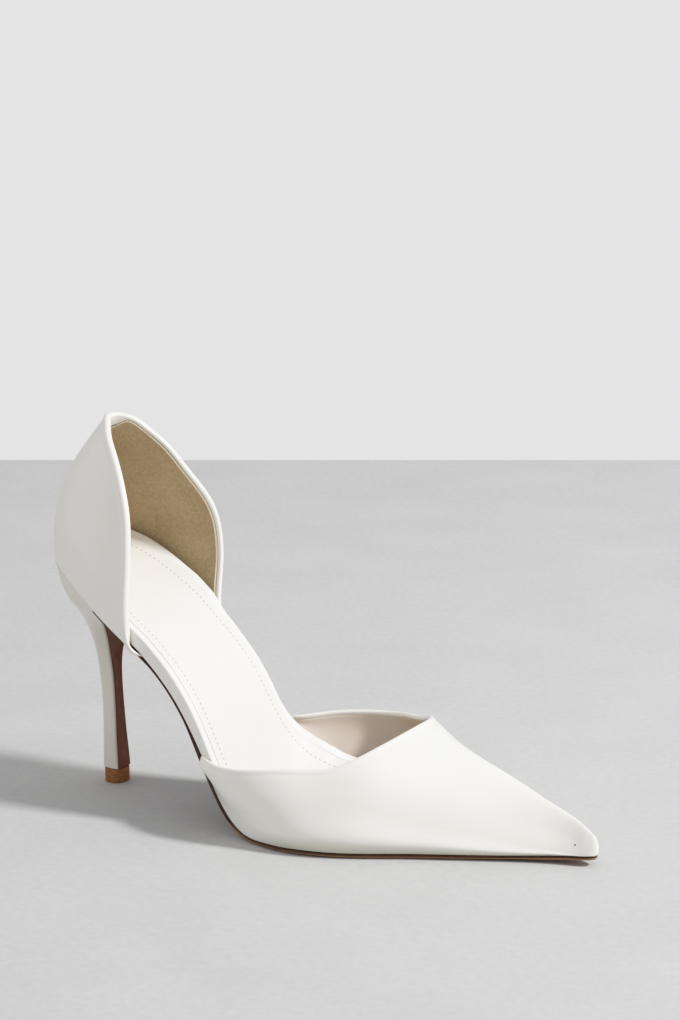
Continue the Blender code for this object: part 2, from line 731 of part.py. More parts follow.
def build_counter(material):
    shares = np.linspace(-1.0, 1.0, COUNTER_COLUMNS + 1)
    parts = counter_edge_parts(COUNTER_COLUMNS)
    rows = np.linspace(0.0, 1.0, COUNTER_ROWS)
    grid = {}
    points, faces = [], []
    for depth in (0, 1):
        for column, (share, part) in enumerate(zip(shares, parts)):
            for row, height in enumerate(rows):
                grid[depth, column, row] = len(points)
                points.append(counter_point(share, part, height, WALL * depth))
    for column in range(COUNTER_COLUMNS):
        for row in range(COUNTER_ROWS - 1):
            for depth in (0, 1):
                faces.append(
                    [
                        grid[depth, column, row],
                        grid[depth, column + 1, row],
                        grid[depth, column + 1, row + 1],
                        grid[depth, column, row + 1],
                    ]
                )
        for row in (0, COUNTER_ROWS - 1):
            faces.append(
                [
                    grid[0, column, row],
                    grid[0, column + 1, row],
                    grid[1, column + 1, row],
                    grid[1, column, row],
                ]
            )
    for column in (0, COUNTER_COLUMNS):
        for row in range(COUNTER_ROWS - 1):
            faces.append(
                [
                    grid[0, column, row],
                    grid[0, column, row + 1],
                    grid[1, column, row + 1],
                    grid[1, column, row],
                ]
            )
    return make("counter", points, faces, material)


def heel_ring(row):
    """One ring of the heel: round the back from the outer breast corner to the inner, then the breast."""
    data = dict(zip(HEEL_RING_COLUMNS, row))
    depth = data["front_x"] - data["back_x"]
    exponent = 2.0 / HEEL_ROUNDNESS
    ring = []
    for turn in np.linspace(-1.0, 1.0, HEEL_COLUMNS + 1):
        angle = turn * math.pi / 2.0
        x = data["front_x"] - depth * abs(math.cos(angle)) ** exponent
        ring.append((x, data["half_width"] * power(math.sin(angle), exponent)))
    for step in np.linspace(1.0, -1.0, BREAST_COLUMNS + 1)[1:-1]:
        ring.append((data["front_x"] - data["hollow"] * (1.0 - step * step), data["half_width"] * step))
    back = data["back_x"]
    return [(x, y, data["z"] - data["tilt"] * (x - back) / depth) for x, y in ring]


def seat_ring():
    """The heel's top, under the counter and the board."""
    ring = []
    corner = {side: outline_y(BREAST_X, side) - side * SEAT_INSET for side in (-1, 1)}
    for turn in np.linspace(-1.0, 1.0, HEEL_COLUMNS + 1):
        side = 1 if turn > 0.0 else -1
        angle = turn * math.pi / 2.0
        back = HEEL_BACK_X + SEAT_INSET
        x = BREAST_X - (BREAST_X - back) * abs(math.cos(angle)) ** (2.0 / HEEL_ROUNDNESS)
        y = outline_y(x - 0.25 * SEAT_INSET, side) - side * SEAT_INSET * abs(math.sin(angle))
        ring.append((x, y if abs(turn) > 1e-9 else 0.0))
    for step in np.linspace(1.0, -1.0, BREAST_COLUMNS + 1)[1:-1]:
        y = corner[1] * step if step > 0.0 else -corner[-1] * step
        ring.append((BREAST_X - SEAT_HOLLOW * (1.0 - step * step), y))
    return [(x, y, floor_z(x, y, -SEAT_GAP / 2.0)) for x, y in ring]


def heel_levels():
    """A spline through the rings and the seat, and the level of each of them."""
    rings = np.array([heel_ring(row) for row in HEEL_RING_ROWS] + [seat_ring()])
    reach = np.linalg.norm(np.diff(rings, axis=0), axis=2).mean(axis=1)
    levels = np.concatenate([[0.0], np.cumsum(reach)])
    return spline(levels, rings), levels


def build_heel(material):
    at, levels = heel_levels()
    rings = [at(level) for level in np.linspace(0.0, levels[-1], HEEL_LEVELS)]
    return loft("heel", rings, material)


def breast_line(at, levels, column, out):
    """Points up one line of the breast, moved forward by out, as far as the underside of the outsole."""
    place = (HEEL_COLUMNS + column) % (HEEL_COLUMNS + BREAST_COLUMNS)

    def point(level):
        x, y, z = at(level)[place]
        return np.array([x + out, y, z])

    low, high = levels[3], levels[-1]
    for _ in range(40):
        middle = 0.5 * (low + high)
        found = point(middle)
        sole = profile_thick("sole", found[0])
        clear = found[2] < floor_z(found[0], found[1], -SEAT_GAP * 1.5 - sole)
        low, high = (middle, high) if clear else (low, middle)
    return [point(level) for level in np.linspace(0.0, low, HEEL_LEVELS)]


def build_heel_breast(material):
    at, levels = heel_levels()
    columns = list(range(BREAST_COLUMNS + 1))
    near = [breast_line(at, levels, column, SEAT_GAP) for column in columns]
    far = [breast_line(at, levels, column, SEAT_GAP + BREAST_PLATE) for column in columns]
    rings = []
    for level in range(HEEL_LEVELS):
        rings.append([line[level] for line in near] + [line[level] for line in far[::-1]])
    return loft("heel_breast", rings, material)


def build_top_piece(material):
    base = dict(zip(HEEL_RING_COLUMNS, HEEL_RING_ROWS[0]))
    rings = []
    for z, grow in (
        (0.0, TOP_PIECE_LIP - TOP_PIECE_CHAMFER),
        (TOP_PIECE_CHAMFER, TOP_PIECE_LIP),
        (TOP_PIECE_TALL - TOP_PIECE_CHAMFER, TOP_PIECE_LIP),
        (TOP_PIECE_TALL, TOP_PIECE_LIP - TOP_PIECE_CHAMFER),
    ):
        row = (
            z,
            0.0,
            base["back_x"] + TOP_PIECE_SET - grow,
            base["front_x"] + SEAT_GAP + BREAST_PLATE + TOP_PIECE_SET + grow,
            base["half_width"] + grow,
            0.0,
        )
        rings.append(heel_ring(row))
    return loft("top_piece", rings, material)


def main():
    for item in list(bpy.data.objects):
        bpy.data.objects.remove(item, do_unlink=True)
    white = paint("white_patent")
    build_outsole(paint("brown_sole"))
    build_insole(paint("white_cover"))
    build_sock(paint("white_sock"))
    build_vamp(white)
    build_counter(white)
    build_heel(white)
    build_heel_breast(paint("brown_breast"))
    build_top_piece(paint("tan_top_piece"))


main()
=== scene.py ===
# %% [markdown]
# A cut-out court shoe for the right foot. The imported model gives the frame: every piece made here lies
# where its solid lies, in metres, with +X to the toe, +Y to the inner side of the foot and +Z up.

import math

import bpy
import numpy as np
from mathutils import Matrix


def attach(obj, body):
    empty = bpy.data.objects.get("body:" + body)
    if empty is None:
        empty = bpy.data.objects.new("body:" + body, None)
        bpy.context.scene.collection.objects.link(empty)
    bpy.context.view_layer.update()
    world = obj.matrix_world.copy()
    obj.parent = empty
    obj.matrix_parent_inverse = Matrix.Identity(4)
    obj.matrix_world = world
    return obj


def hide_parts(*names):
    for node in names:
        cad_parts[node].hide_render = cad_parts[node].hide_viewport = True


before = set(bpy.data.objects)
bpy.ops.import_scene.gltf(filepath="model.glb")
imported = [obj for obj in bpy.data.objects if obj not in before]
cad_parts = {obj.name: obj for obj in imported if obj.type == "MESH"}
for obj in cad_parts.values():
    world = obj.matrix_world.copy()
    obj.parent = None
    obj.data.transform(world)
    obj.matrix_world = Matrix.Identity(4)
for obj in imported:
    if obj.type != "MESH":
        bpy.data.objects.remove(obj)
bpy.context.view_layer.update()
print("solids:", sorted(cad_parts))

# %% [markdown]
# A shoe is drawn on a last, which has no flat face and no true circle. So the shapes below are short tables
# of measures in millimetres, with a smooth curve through each column. Curves could also be drawn by hand,
# but a table is easier to measure and to correct. The tables are close to those of the solids.
# Here x = 0 and y = 0 lie in the middle of the heel tip, and SHIFT moves the finished points to the frame.

# %% Curves through tables
MM = 0.001
SHIFT = np.array([-94.05, -2.98, 0.0])
GAP = 0.3  # between pieces that lie on each other
WALL = 2.0  # the upper with its lining
CURVE_SAMPLES = 3000


def spline(knots, values):
    """A natural cubic spline through the values, one row for each knot."""
    knots = np.asarray(knots, float)
    values = np.asarray(values, float)
    flat = values.reshape(len(knots), -1)
    step = np.diff(knots)
    slope = np.diff(flat, axis=0) / step[:, None]
    matrix = np.eye(len(knots))
    right = np.zeros_like(flat)
    for row in range(1, len(knots) - 1):
        matrix[row, row - 1] = step[row - 1]
        matrix[row, row] = 2.0 * (step[row - 1] + step[row])
        matrix[row, row + 1] = step[row]
        right[row] = 6.0 * (slope[row] - slope[row - 1])
    bend = np.linalg.solve(matrix, right)

    def at(where):
        where = np.clip(np.asarray(where, float), knots[0], knots[-1])
        low = np.clip(np.searchsorted(knots, where) - 1, 0, len(step) - 1)
        a = ((knots[low + 1] - where) / step[low])[..., None]
        b = 1.0 - a
        curve = (a**3 - a) * bend[low] + (b**3 - b) * bend[low + 1]
        found = a * flat[low] + b * flat[low + 1] + curve * step[low][..., None] ** 2 / 6.0
        return found.reshape(where.shape + values.shape[1:])

    return at


def columns_of(names, rows):
    return dict(zip(names.split(), np.array(rows, float).T))


def splines_of(names, rows):
    """One spline for each column after the first, over the first."""
    data = columns_of(names, rows)
    first = names.split()[0]
    return {name: spline(data[first], data[name]) for name in names.split()[1:]}


def run_length(points):
    """Length along a line of points, from 0 at its start."""
    step = np.linalg.norm(np.diff(points, axis=0), axis=1)
    return np.concatenate([[0.0], np.cumsum(step)])


def chord_splines(names, rows):
    """Splines over the length of the line that the first two columns draw, and that length for an x."""
    data = columns_of(names, rows)
    first, second = names.split()[:2]
    length = run_length(np.stack([data[first], data[second]], axis=1))
    curves = {name: spline(length, data[name]) for name in data}
    fine = np.linspace(0.0, length[-1], CURVE_SAMPLES)
    along = curves[first](fine)
    return curves, lambda x: np.interp(x, along, fine)


# %% [markdown]
# The bottom of the shoe is one line along the foot: down the arch, flat under the ball and up a little at
# the toe. It twists at the waist, where the inner edge lies higher. The board and the sole are measured
# from this line along its normal, so that they keep their thickness on the steep arch.

# %% The bottom line
BOTTOM = columns_of(
    "x z twist board sole",
    (
        (-24.0, 94.2, 0.0, 5.6, 1.0),
        (-13.0, 90.8, 0.0, 5.6, 1.0),
        (0.0, 84.8, 0.0, 5.6, 1.0),
        (14.0, 76.2, 0.0, 5.6, 1.0),
        (28.0, 67.4, 0.4, 5.6, 1.0),
        (42.0, 56.9, 1.3, 5.4, 0.8),
        (54.0, 43.0, 1.7, 4.8, 1.0),
        (64.0, 26.6, 2.0, 3.8, 1.4),
        (73.0, 12.2, 1.2, 3.4, 1.8),
        (81.0, 4.6, 0.4, 3.4, 1.8),
        (90.0, 2.0, 0.0, 3.0, 1.85),
        (104.0, 2.0, 0.0, 3.0, 1.85),
        (128.0, 2.0, 0.0, 2.8, 1.85),
        (152.0, 2.0, 0.0, 2.4, 1.85),
        (176.0, 2.2, 0.0, 2.0, 1.85),
        (196.0, 3.0, 0.0, 1.8, 1.6),
        (216.0, 4.4, 0.0, 1.8, 1.1),
    ),
)
BOTTOM_LINE = spline(BOTTOM["x"], BOTTOM["z"])
TREAD_Z = 2.0
TWIST_MIDDLE = -2.5
TWIST_HALF = 29.0
ARCH_TOP_X = -24.0
BALL_X = 109.0


def bottom_z(x):
    return np.maximum(BOTTOM_LINE(x), TREAD_Z)


def bottom_slope(x):
    """Rise over one millimetre along the foot, half of it before x and half after."""
    return bottom_z(x + 0.5) - bottom_z(x - 0.5)


def bottom_measure(name, x):
    return np.interp(x, BOTTOM["x"], BOTTOM[name])


def twist_z(x, y):
    return bottom_measure("twist", x) * (y - TWIST_MIDDLE) / TWIST_HALF


def floor_z(x, y, rise=0.0):
    """Height at x and y of the surface that runs the given distance above the bottom line."""
    return bottom_z(x) + twist_z(x, y) + rise * np.hypot(1.0, bottom_slope(x))


def rib_points(x, y, rise):
    """Points at the distance rise from the bottom line, along its normal."""
    slope = bottom_slope(x)
    size = np.hypot(1.0, slope)
    return np.stack([x - rise * slope / size, y, bottom_z(x) + twist_z(x, y) + rise / size], axis=-1)


ARCH_ENDS = [round(float(bottom_z(x)), 1) for x in (ARCH_TOP_X, BALL_X)]
print("arch from", ARCH_ENDS[0], "mm down to", ARCH_ENDS[1], "mm")

# %% [markdown]
# The heel counter is a cup. Level slices through it are half ovals, a little squarer than an ellipse, that
# lean forward towards the top. A place on it is given by its turn, from -1 on the outer side over 0 at the
# back to 1 on the inner side, and by its height.

# %% The counter's surface
COUNTER = splines_of(
    "z back lateral medial",
    (
        (58.0, -9.0, -29.6, 25.6),
        (66.0, -14.0, -30.6, 26.6),
        (74.0, -18.6, -31.4, 28.0),
        (82.0, -21.8, -31.6, 29.8),
        (90.0, -23.8, -31.0, 31.2),
        (98.0, -25.0, -29.4, 31.4),
        (106.0, -25.2, -27.4, 30.4),
        (114.0, -24.0, -24.8, 27.8),
        (122.0, -21.4, -22.2, 23.9),
        (130.0, -17.0, -19.8, 19.9),
        (138.0, -11.2, -17.8, 16.9),
        (146.0, -4.6, -15.6, 13.8),
        (153.6, 1.6, -12.2, 9.8),
    ),
)
COUNTER_CENTRE_X = 40.0
COUNTER_ROUND = 2.0 / 2.12
COUNTER_LEAN = 0.25
HALVINGS = 40
FOOT_FIRST_Z = 80.0
FOOT_STEPS = 30
HEEL_SAMPLES = 161
HEEL_MIDDLE = HEEL_SAMPLES // 2


def power(value, exponent):
    """A power that keeps the sign, for ovals squarer than an ellipse."""
    return np.sign(value) * np.abs(value) ** exponent


def counter_surface(turn, z):
    """The point of the cup at a turn and a height."""
    angle = turn * math.pi / 2.0
    lateral, medial = COUNTER["lateral"](z), COUNTER["medial"](z)
    half = np.where(turn > 0.0, medial, -lateral)
    depth = COUNTER_CENTRE_X - COUNTER["back"](z)
    x = COUNTER_CENTRE_X - depth * np.abs(np.cos(angle)) ** COUNTER_ROUND
    lean = COUNTER_LEAN * (medial + lateral) * (1.0 - np.abs(turn)) ** 2
    y = lean + half * power(np.sin(angle), COUNTER_ROUND)
    return np.stack([x, y, z + 0.0 * turn], axis=-1)


def counter_turn(x, z, side):
    """The turn at which the slice at height z reaches x, on the outer (-1) or inner (1) side."""
    low, high = np.zeros_like(z), np.ones_like(z)
    for _ in range(HALVINGS):
        middle = 0.5 * (low + high)
        short = counter_surface(side * middle, z)[..., 0] < x
        low, high = np.where(short, middle, low), np.where(short, high, middle)
    return side * 0.5 * (low + high)


def counter_foot(turn, rise=GAP / 2.0):
    """Height at which the counter meets the surface a little over the bottom line."""
    z = np.full_like(turn, FOOT_FIRST_Z)
    for _ in range(FOOT_STEPS):
        point = counter_surface(turn, z)
        z = 0.5 * z + 0.5 * floor_z(point[..., 0], point[..., 1], rise)
    return z


HEEL_TURNS = np.linspace(-1.0, 1.0, HEEL_SAMPLES)
HEEL_OUTLINE = counter_surface(HEEL_TURNS, counter_foot(HEEL_TURNS))
HEEL_BACK_X = float(HEEL_OUTLINE[:, 0].min())
print("back of the heel at x =", round(HEEL_BACK_X, 1), "mm")

# %% [markdown]
# Seen from below, the upper meets the sole along one closed outline. The back of it is the foot of the
# counter, and the front is a table of widths. The board, the sock and the sole are this outline drawn in.

# %% The outline
OUTLINE, OUTLINE_LENGTH = chord_splines(
    "x lateral medial",
    (
        (26.0, -30.0, 26.2),
        (40.0, -31.0, 26.4),
        (54.0, -32.4, 26.0),
        (64.0, -33.4, 26.2),
        (73.0, -34.4, 28.2),
        (81.0, -36.2, 31.6),
        (90.0, -39.0, 37.4),
        (100.0, -41.2, 43.2),
        (111.0, -41.2, 46.4),
        (122.0, -38.4, 45.4),
        (135.0, -32.4, 40.4),
        (150.0, -23.8, 34.2),
        (165.0, -16.2, 27.6),
        (180.0, -8.8, 20.4),
        (192.0, -3.2, 14.8),
        (202.0, 0.7, 11.0),
        (209.0, 2.6, 9.4),
        (212.2, 4.0, 8.1),
        (213.3, 5.2, 6.9),
    ),
)
OUTLINE_START_X = 26.0
TOE_END_X = 213.2
SIDES = {-1: "lateral", 1: "medial"}
HEEL_BLEND = (27.0, 36.0)
OUTLINE_SAMPLES = 900
END_CROWDING = 0.55


def part_of(value, reach):
    """0 before the reach, 1 after it, and even in between."""
    return np.clip((value - reach[0]) / (reach[1] - reach[0]), 0.0, 1.0)


def smooth_part(value, reach):
    """0 before the reach, 1 after it, with a soft start and end."""
    part = part_of(value, reach)
    return part * part * (3.0 - 2.0 * part)


def unit(vectors):
    """The same directions, each with the length 1."""
    return vectors / np.linalg.norm(vectors, axis=-1)[..., None]


def outline_y(x, side):
    """The outline's y at x, on the outer (-1) or inner (1) side of the foot."""
    half = HEEL_OUTLINE[HEEL_MIDDLE:] if side > 0 else HEEL_OUTLINE[HEEL_MIDDLE::-1]
    heel = np.interp(x, half[:, 0], half[:, 1])
    front = OUTLINE[SIDES[side]](OUTLINE_LENGTH(np.maximum(x, OUTLINE_START_X)))
    blend = smooth_part(x, HEEL_BLEND)
    return heel * (1.0 - blend) + front * blend


def inset_outline(inset, low_x, high_x, count):
    """Stations x, closer together at both ends, with the outer and inner y of the outline drawn in by
    inset(x)."""
    fine = np.linspace(HEEL_BACK_X + 0.01, TOE_END_X, OUTLINE_SAMPLES)
    turn = np.linspace(0.0, math.pi, count)
    ends = (low_x + high_x) / 2.0 - (high_x - low_x) / 2.0 * np.cos(turn)
    stations = END_CROWDING * ends + (1.0 - END_CROWDING) * np.linspace(low_x, high_x, count)
    found = []
    for side in (-1, 1):
        edge = np.stack([fine, outline_y(fine, side)], axis=1)
        run = unit(np.gradient(edge, axis=0))
        inward = np.stack([-run[:, 1], run[:, 0]], axis=1) * -side
        moved = edge + inward * inset(fine)[:, None]
        moved = moved[np.argsort(moved[:, 0], kind="stable")]
        found.append(np.interp(stations, moved[:, 0], moved[:, 1]))
    return stations, found[0], found[1]


print("ball", round(float(outline_y(BALL_X, 1) - outline_y(BALL_X, -1)), 1), "mm wide")

# %% [markdown]
# The vamp, the pointed front upper, is given by slices across the foot. Each has a foot on the outline, a
# side point and a ridge, joined by curves that leave the ridge level. A place on it is its x and how far
# across it lies, from -1 at the outer foot over 0 on the ridge to 1 at the inner foot.

# %% The vamp's surface
VAMP, VAMP_LENGTH = chord_splines(
    "x lateral_y lateral_z ridge_y ridge_z medial_y medial_z",
    (
        (62.0, -33.4, 29.4, -1.0, 62.0, 26.4, 29.2),
        (72.0, -37.0, 28.8, 2.0, 64.0, 33.0, 30.9),
        (81.0, -38.8, 29.3, 5.0, 65.0, 38.6, 32.0),
        (91.0, -38.2, 30.4, 8.0, 64.0, 43.2, 32.6),
        (101.0, -34.8, 31.3, 10.5, 61.5, 45.6, 33.0),
        (111.0, -30.0, 31.4, 12.4, 57.8, 44.0, 34.0),
        (121.0, -25.6, 31.8, 13.4, 51.4, 39.6, 34.2),
        (131.0, -21.6, 30.8, 13.9, 43.6, 34.8, 32.4),
        (140.0, -17.4, 27.9, 13.8, 38.7, 31.0, 28.8),
        (152.0, -11.6, 23.8, 13.4, 33.8, 26.8, 24.4),
        (166.0, -5.4, 19.9, 12.6, 29.3, 22.0, 20.2),
        (180.0, 0.0, 16.2, 11.6, 24.5, 17.2, 16.3),
        (192.0, 3.0, 13.0, 10.0, 20.1, 13.6, 13.2),
        (202.0, 4.4, 10.6, 8.9, 16.6, 10.8, 10.6),
        (206.0, 4.3, 9.6, 8.1, 14.95, 9.9, 9.6),
        (209.0, 4.2, 9.0, 7.2, 13.45, 9.2, 9.0),
        (211.0, 4.4, 8.5, 6.75, 12.2, 8.5, 8.5),
        (212.2, 4.7, 8.2, 6.4, 11.1, 7.8, 8.2),
        (213.3, 5.6, 7.2, 6.1, 8.6, 6.6, 7.2),
    ),
)
# How strongly the curves of a slice hold their direction at the ridge, the side point and the foot.
RIDGE_FLAT = 0.85
KNEE_PULL = 0.5
KNEE_TURN = (0.9, 1.0)
FOOT_PULL = 0.6
FOOT_UPRIGHT = 0.55
CORNER_DRAW = 1.5
CORNER_REACH = (62.0, 80.0)


def corner_draw(x):
    """How far the back corners of the wings are drawn in, to lie flat on the board's edge."""
    return CORNER_DRAW * (1.0 - part_of(x, CORNER_REACH)) ** 2


def hermite(start, end, start_run, end_run, part):
    """A curve between two points that leaves and meets them in given directions."""
    part = part[..., None]
    square, cube = part * part, part * part * part
    return (
        (2.0 * cube - 3.0 * square + 1.0) * start
        + (cube - 2.0 * square + part) * start_run
        + (3.0 * square - 2.0 * cube) * end
        + (cube - square) * end_run
    )


def vamp_surface(x, across):
    """The point of the skin at x and at a place across the foot."""
    inner = across > 0.0
    climb = 1.0 - np.minimum(np.abs(across), 1.0)
    key = VAMP_LENGTH(x)

    def pick(axis):
        return np.where(inner, VAMP["medial_" + axis](key), VAMP["lateral_" + axis](key))

    draw = np.where(inner, -1.0, 1.0) * corner_draw(x)
    foot_y = np.where(inner, outline_y(x, 1), outline_y(x, -1)) + draw
    foot = np.stack([foot_y, floor_z(x, foot_y, GAP / 2.0)], axis=-1)
    knee = np.stack([pick("y") + draw, pick("z")], axis=-1)
    ridge = np.stack([VAMP["ridge_y"](key), VAMP["ridge_z"](key)], axis=-1)
    knee_run = KNEE_PULL * (ridge - foot) * KNEE_TURN
    foot_run = FOOT_PULL * (knee - foot)
    foot_run[..., 1] += FOOT_UPRIGHT * np.abs(knee[..., 1] - foot[..., 1])
    ridge_run = RIDGE_FLAT * (ridge - knee) * (1.0, 0.0)
    lower = hermite(foot, knee, foot_run, knee_run, climb * 2.0)
    upper = hermite(knee, ridge, knee_run, ridge_run, climb * 2.0 - 1.0)
    found = np.where((climb <= 0.5)[..., None], lower, upper)
    return np.concatenate([np.asarray(x + 0.0 * across)[..., None], found], axis=-1)


# %% [markdown]
# Both uppers are skins with folded edges. A skin is drawn as columns that run from its open edge down to
# its foot, and each column carries one closed ring of points: up the outside, round the fold, and back
# down the inside. Bridging the rings gives the wall, the fold and the inside in one closed piece.
# The grid primitive is the start, because its rows and columns are just these rings.

# %% Rings to a closed piece
PIECES = {}
SHARP_ANGLE = 38.0
MERGE_DISTANCE = 0.000002


def deselect():
    bpy.ops.object.select_all(action="DESELECT")


def ring_piece(name, rings, drop=(), marks=None, sharp=SHARP_ANGLE):
    """A closed piece through rings of equal size, in millimetres. drop lists faces to leave out, and marks
    are numbers for each point, kept for the material."""
    rings = np.asarray(rings, float)
    count, around = rings.shape[:2]
    wrapped = np.concatenate([rings, rings[:, :1]], axis=1)
    deselect()
    bpy.ops.mesh.primitive_grid_add(x_subdivisions=around, y_subdivisions=count - 1, size=1.0)
    piece = bpy.context.object
    piece.name = name
    mesh = piece.data
    mesh.name = name
    mesh.vertices.foreach_set("co", ((wrapped + SHIFT) * MM).ravel())
    for key, values in (marks or {}).items():
        values = np.asarray(values, float)
        layer = mesh.attributes.new(key, "FLOAT", "POINT")
        layer.data.foreach_set("value", np.concatenate([values, values[:, :1]], axis=1).ravel())
    mesh.update()
    bpy.ops.object.mode_set(mode="EDIT")
    bpy.ops.mesh.select_mode(type="FACE")
    if len(drop):
        bpy.ops.mesh.select_all(action="DESELECT")
        bpy.ops.object.mode_set(mode="OBJECT")
        chosen = np.zeros(len(mesh.polygons), bool)
        chosen[np.asarray(drop, int)] = True
        mesh.polygons.foreach_set("select", chosen)
        bpy.ops.object.mode_set(mode="EDIT")
        bpy.ops.mesh.delete(type="FACE")
    bpy.ops.mesh.select_all(action="SELECT")
    bpy.ops.mesh.remove_doubles(threshold=MERGE_DISTANCE)
    bpy.ops.mesh.select_all(action="SELECT")
    bpy.ops.mesh.fill_holes(sides=0)
    bpy.ops.mesh.select_all(action="SELECT")
    bpy.ops.mesh.normals_make_consistent(inside=False)
    bpy.ops.object.mode_set(mode="OBJECT")
    bpy.ops.object.shade_smooth_by_angle(angle=math.radians(sharp))
    PIECES[name] = piece
    print(name, len(mesh.polygons), "faces")
    return piece


# %% [markdown]
# A column's rows stand close together at the open edge and at the foot, where the skin turns, and further
# apart on the plain wall between them. A column that is shorter than SHORT_COLUMN gets them all scaled.

# %% Rows on the columns
COLUMN_SAMPLES = 220
SHORT_COLUMN = 12.0
EDGE_ROWS = (0.0, 0.12, 0.3, 0.55, 0.85, 1.2, 1.6, 2.0, 2.4, 2.8, 3.2, 3.7, 4.4)
FOOT_ROWS = (0.0, 0.2, 0.5, 0.9, 1.4, 2.0, 2.7, 3.5, 4.3, 5.1, 5.9, 6.8)


def walk(surface, start, end):
    """Length along each straight run from start to end in the surface's own coordinates."""
    share = np.linspace(0.0, 1.0, COLUMN_SAMPLES)
    places = start[:, None] + (end - start)[:, None] * share[None, :, None]
    points = surface(places[..., 0], places[..., 1])
    step = np.linalg.norm(np.diff(points, axis=1), axis=2)
    length = np.concatenate([np.zeros((len(start), 1)), np.cumsum(step, axis=1)], axis=1)
    return share, length


def row_marks(length, near, far, middle):
    """Distances from the edge for each column: near the edge, near the foot, and so many between them."""
    scale = np.minimum(1.0, length / SHORT_COLUMN)[:, None]
    close = np.array(near)[None, :] * scale
    last = length[:, None] - np.array(far)[None, ::-1] * scale
    share = np.linspace(0.0, 1.0, middle + 2)[None, 1:-1]
    between = close[:, -1:] + (last[:, :1] - close[:, -1:]) * share
    return np.concatenate([close, between, last], axis=1)


def shares_at(share, length, distance):
    """Shares of each column at these distances along it."""
    return np.array([np.interp(row, line, share) for row, line in zip(distance, length)])


print(len(EDGE_ROWS), "rows at an edge and", len(FOOT_ROWS), "at a foot")

# %% [markdown]
# The vamp's top line runs level along each wing and rises in a round to the throat. Its columns stand
# upright along the wings and fan out from the throat to the foot and to the tip of the toe.

# %% Columns of the vamp
THROAT_X = 134.0
THROAT_START_X = 114.0
BACK_X = {-1: 62.6, 1: 64.6}
FAN_X = 104.0
WING_COLUMNS = 46
WING_ACROSS = 0.5
WING_SAMPLES = 39
FAN_COLUMNS = 112
THROAT_SAMPLES = 240
FOOT_SAMPLES = 600
FOOT_SHARE = 0.62


def top_line(x):
    """How far across the foot the top line lies at x."""
    part = part_of(x, (THROAT_START_X, THROAT_X))
    return WING_ACROSS * np.sqrt(np.maximum(1.0 - part * part, 0.0))


def even_run(points, places, count):
    """Places spread evenly over the length of a line of points."""
    length = run_length(points)
    wanted = np.linspace(0.0, length[-1], count)
    return np.stack([np.interp(wanted, length, column) for column in places.T], axis=1)


def vamp_half(side):
    """Start on the top line and end on the foot of each column, from the back corner to the ridge."""
    wing = np.linspace(BACK_X[side], FAN_X, WING_COLUMNS, endpoint=False)
    wing_top = np.stack([wing, side * top_line(wing)], axis=1)
    wing_foot = np.stack([wing, np.full_like(wing, side)], axis=1)
    bend = np.linspace(0.0, math.pi / 2.0, THROAT_SAMPLES)
    level = np.linspace(FAN_X, THROAT_START_X, WING_SAMPLES, endpoint=False)
    x = np.concatenate([level, THROAT_START_X + (THROAT_X - THROAT_START_X) * np.sin(bend)])
    across = np.concatenate([np.full_like(level, WING_ACROSS), WING_ACROSS * np.cos(bend)]) * side
    fan_top = even_run(vamp_surface(x, across), np.stack([x, across], axis=1), FAN_COLUMNS)
    foot_count = int(FAN_COLUMNS * FOOT_SHARE)
    x = np.linspace(FAN_X, TOE_END_X, FOOT_SAMPLES)
    across = np.full_like(x, side)
    foot = even_run(vamp_surface(x, across), np.stack([x, across], axis=1), foot_count)
    nose = np.linspace(1.0, 0.0, FAN_COLUMNS - foot_count + 1)[1:] * side
    nose = np.stack([np.full_like(nose, TOE_END_X), nose], axis=1)
    return np.concatenate([wing_top, fan_top]), np.concatenate([wing_foot, foot, nose])


OUTER_TOP, OUTER_FOOT = vamp_half(-1)
INNER_TOP, INNER_FOOT = vamp_half(1)
VAMP_TOP = np.concatenate([OUTER_TOP, INNER_TOP[-2::-1]])
VAMP_FOOT = np.concatenate([OUTER_FOOT, INNER_FOOT[-2::-1]])
VAMP_NOSE = np.flatnonzero(VAMP_FOOT[:, 0] >= TOE_END_X - 1e-6)
VAMP_SHARE, VAMP_RUN = walk(vamp_surface, VAMP_TOP, VAMP_FOOT)
print(len(VAMP_TOP), "columns, the longest", round(float(VAMP_RUN[:, -1].max()), 1), "mm")

# %% [markdown]
# The real skin has a thickness, so a ring's points stand over or under the surface along its normal. The
# wall is pared thin towards the back corners, the inside keeps back from the tip of the toe, and the tip
# itself swells forward, so that it ends in a round.

# %% Points over the vamp's skin
TOE_DRAW = 3.6
TOE_DRAW_REACH = (170.0, TOE_END_X)
SKIVE = 9.0
CORNER_THIN = 0.34
NOSE_REACH = (203.0, TOE_END_X)
NOSE_PUSH = spline((3.6, 5.0, 6.5, 8.5, 11.0, 13.5, 17.0), (0.0, 0.4, 0.65, 0.65, 0.4, 0.15, 0.0))
AHEAD_STEP = 0.3
ACROSS_STEP = 0.006


def nose_push(points):
    """How far a point is pushed forward, by its height and by how near it is to the tip."""
    return NOSE_PUSH(points[..., 2]) * part_of(points[..., 0], NOSE_REACH) ** 2


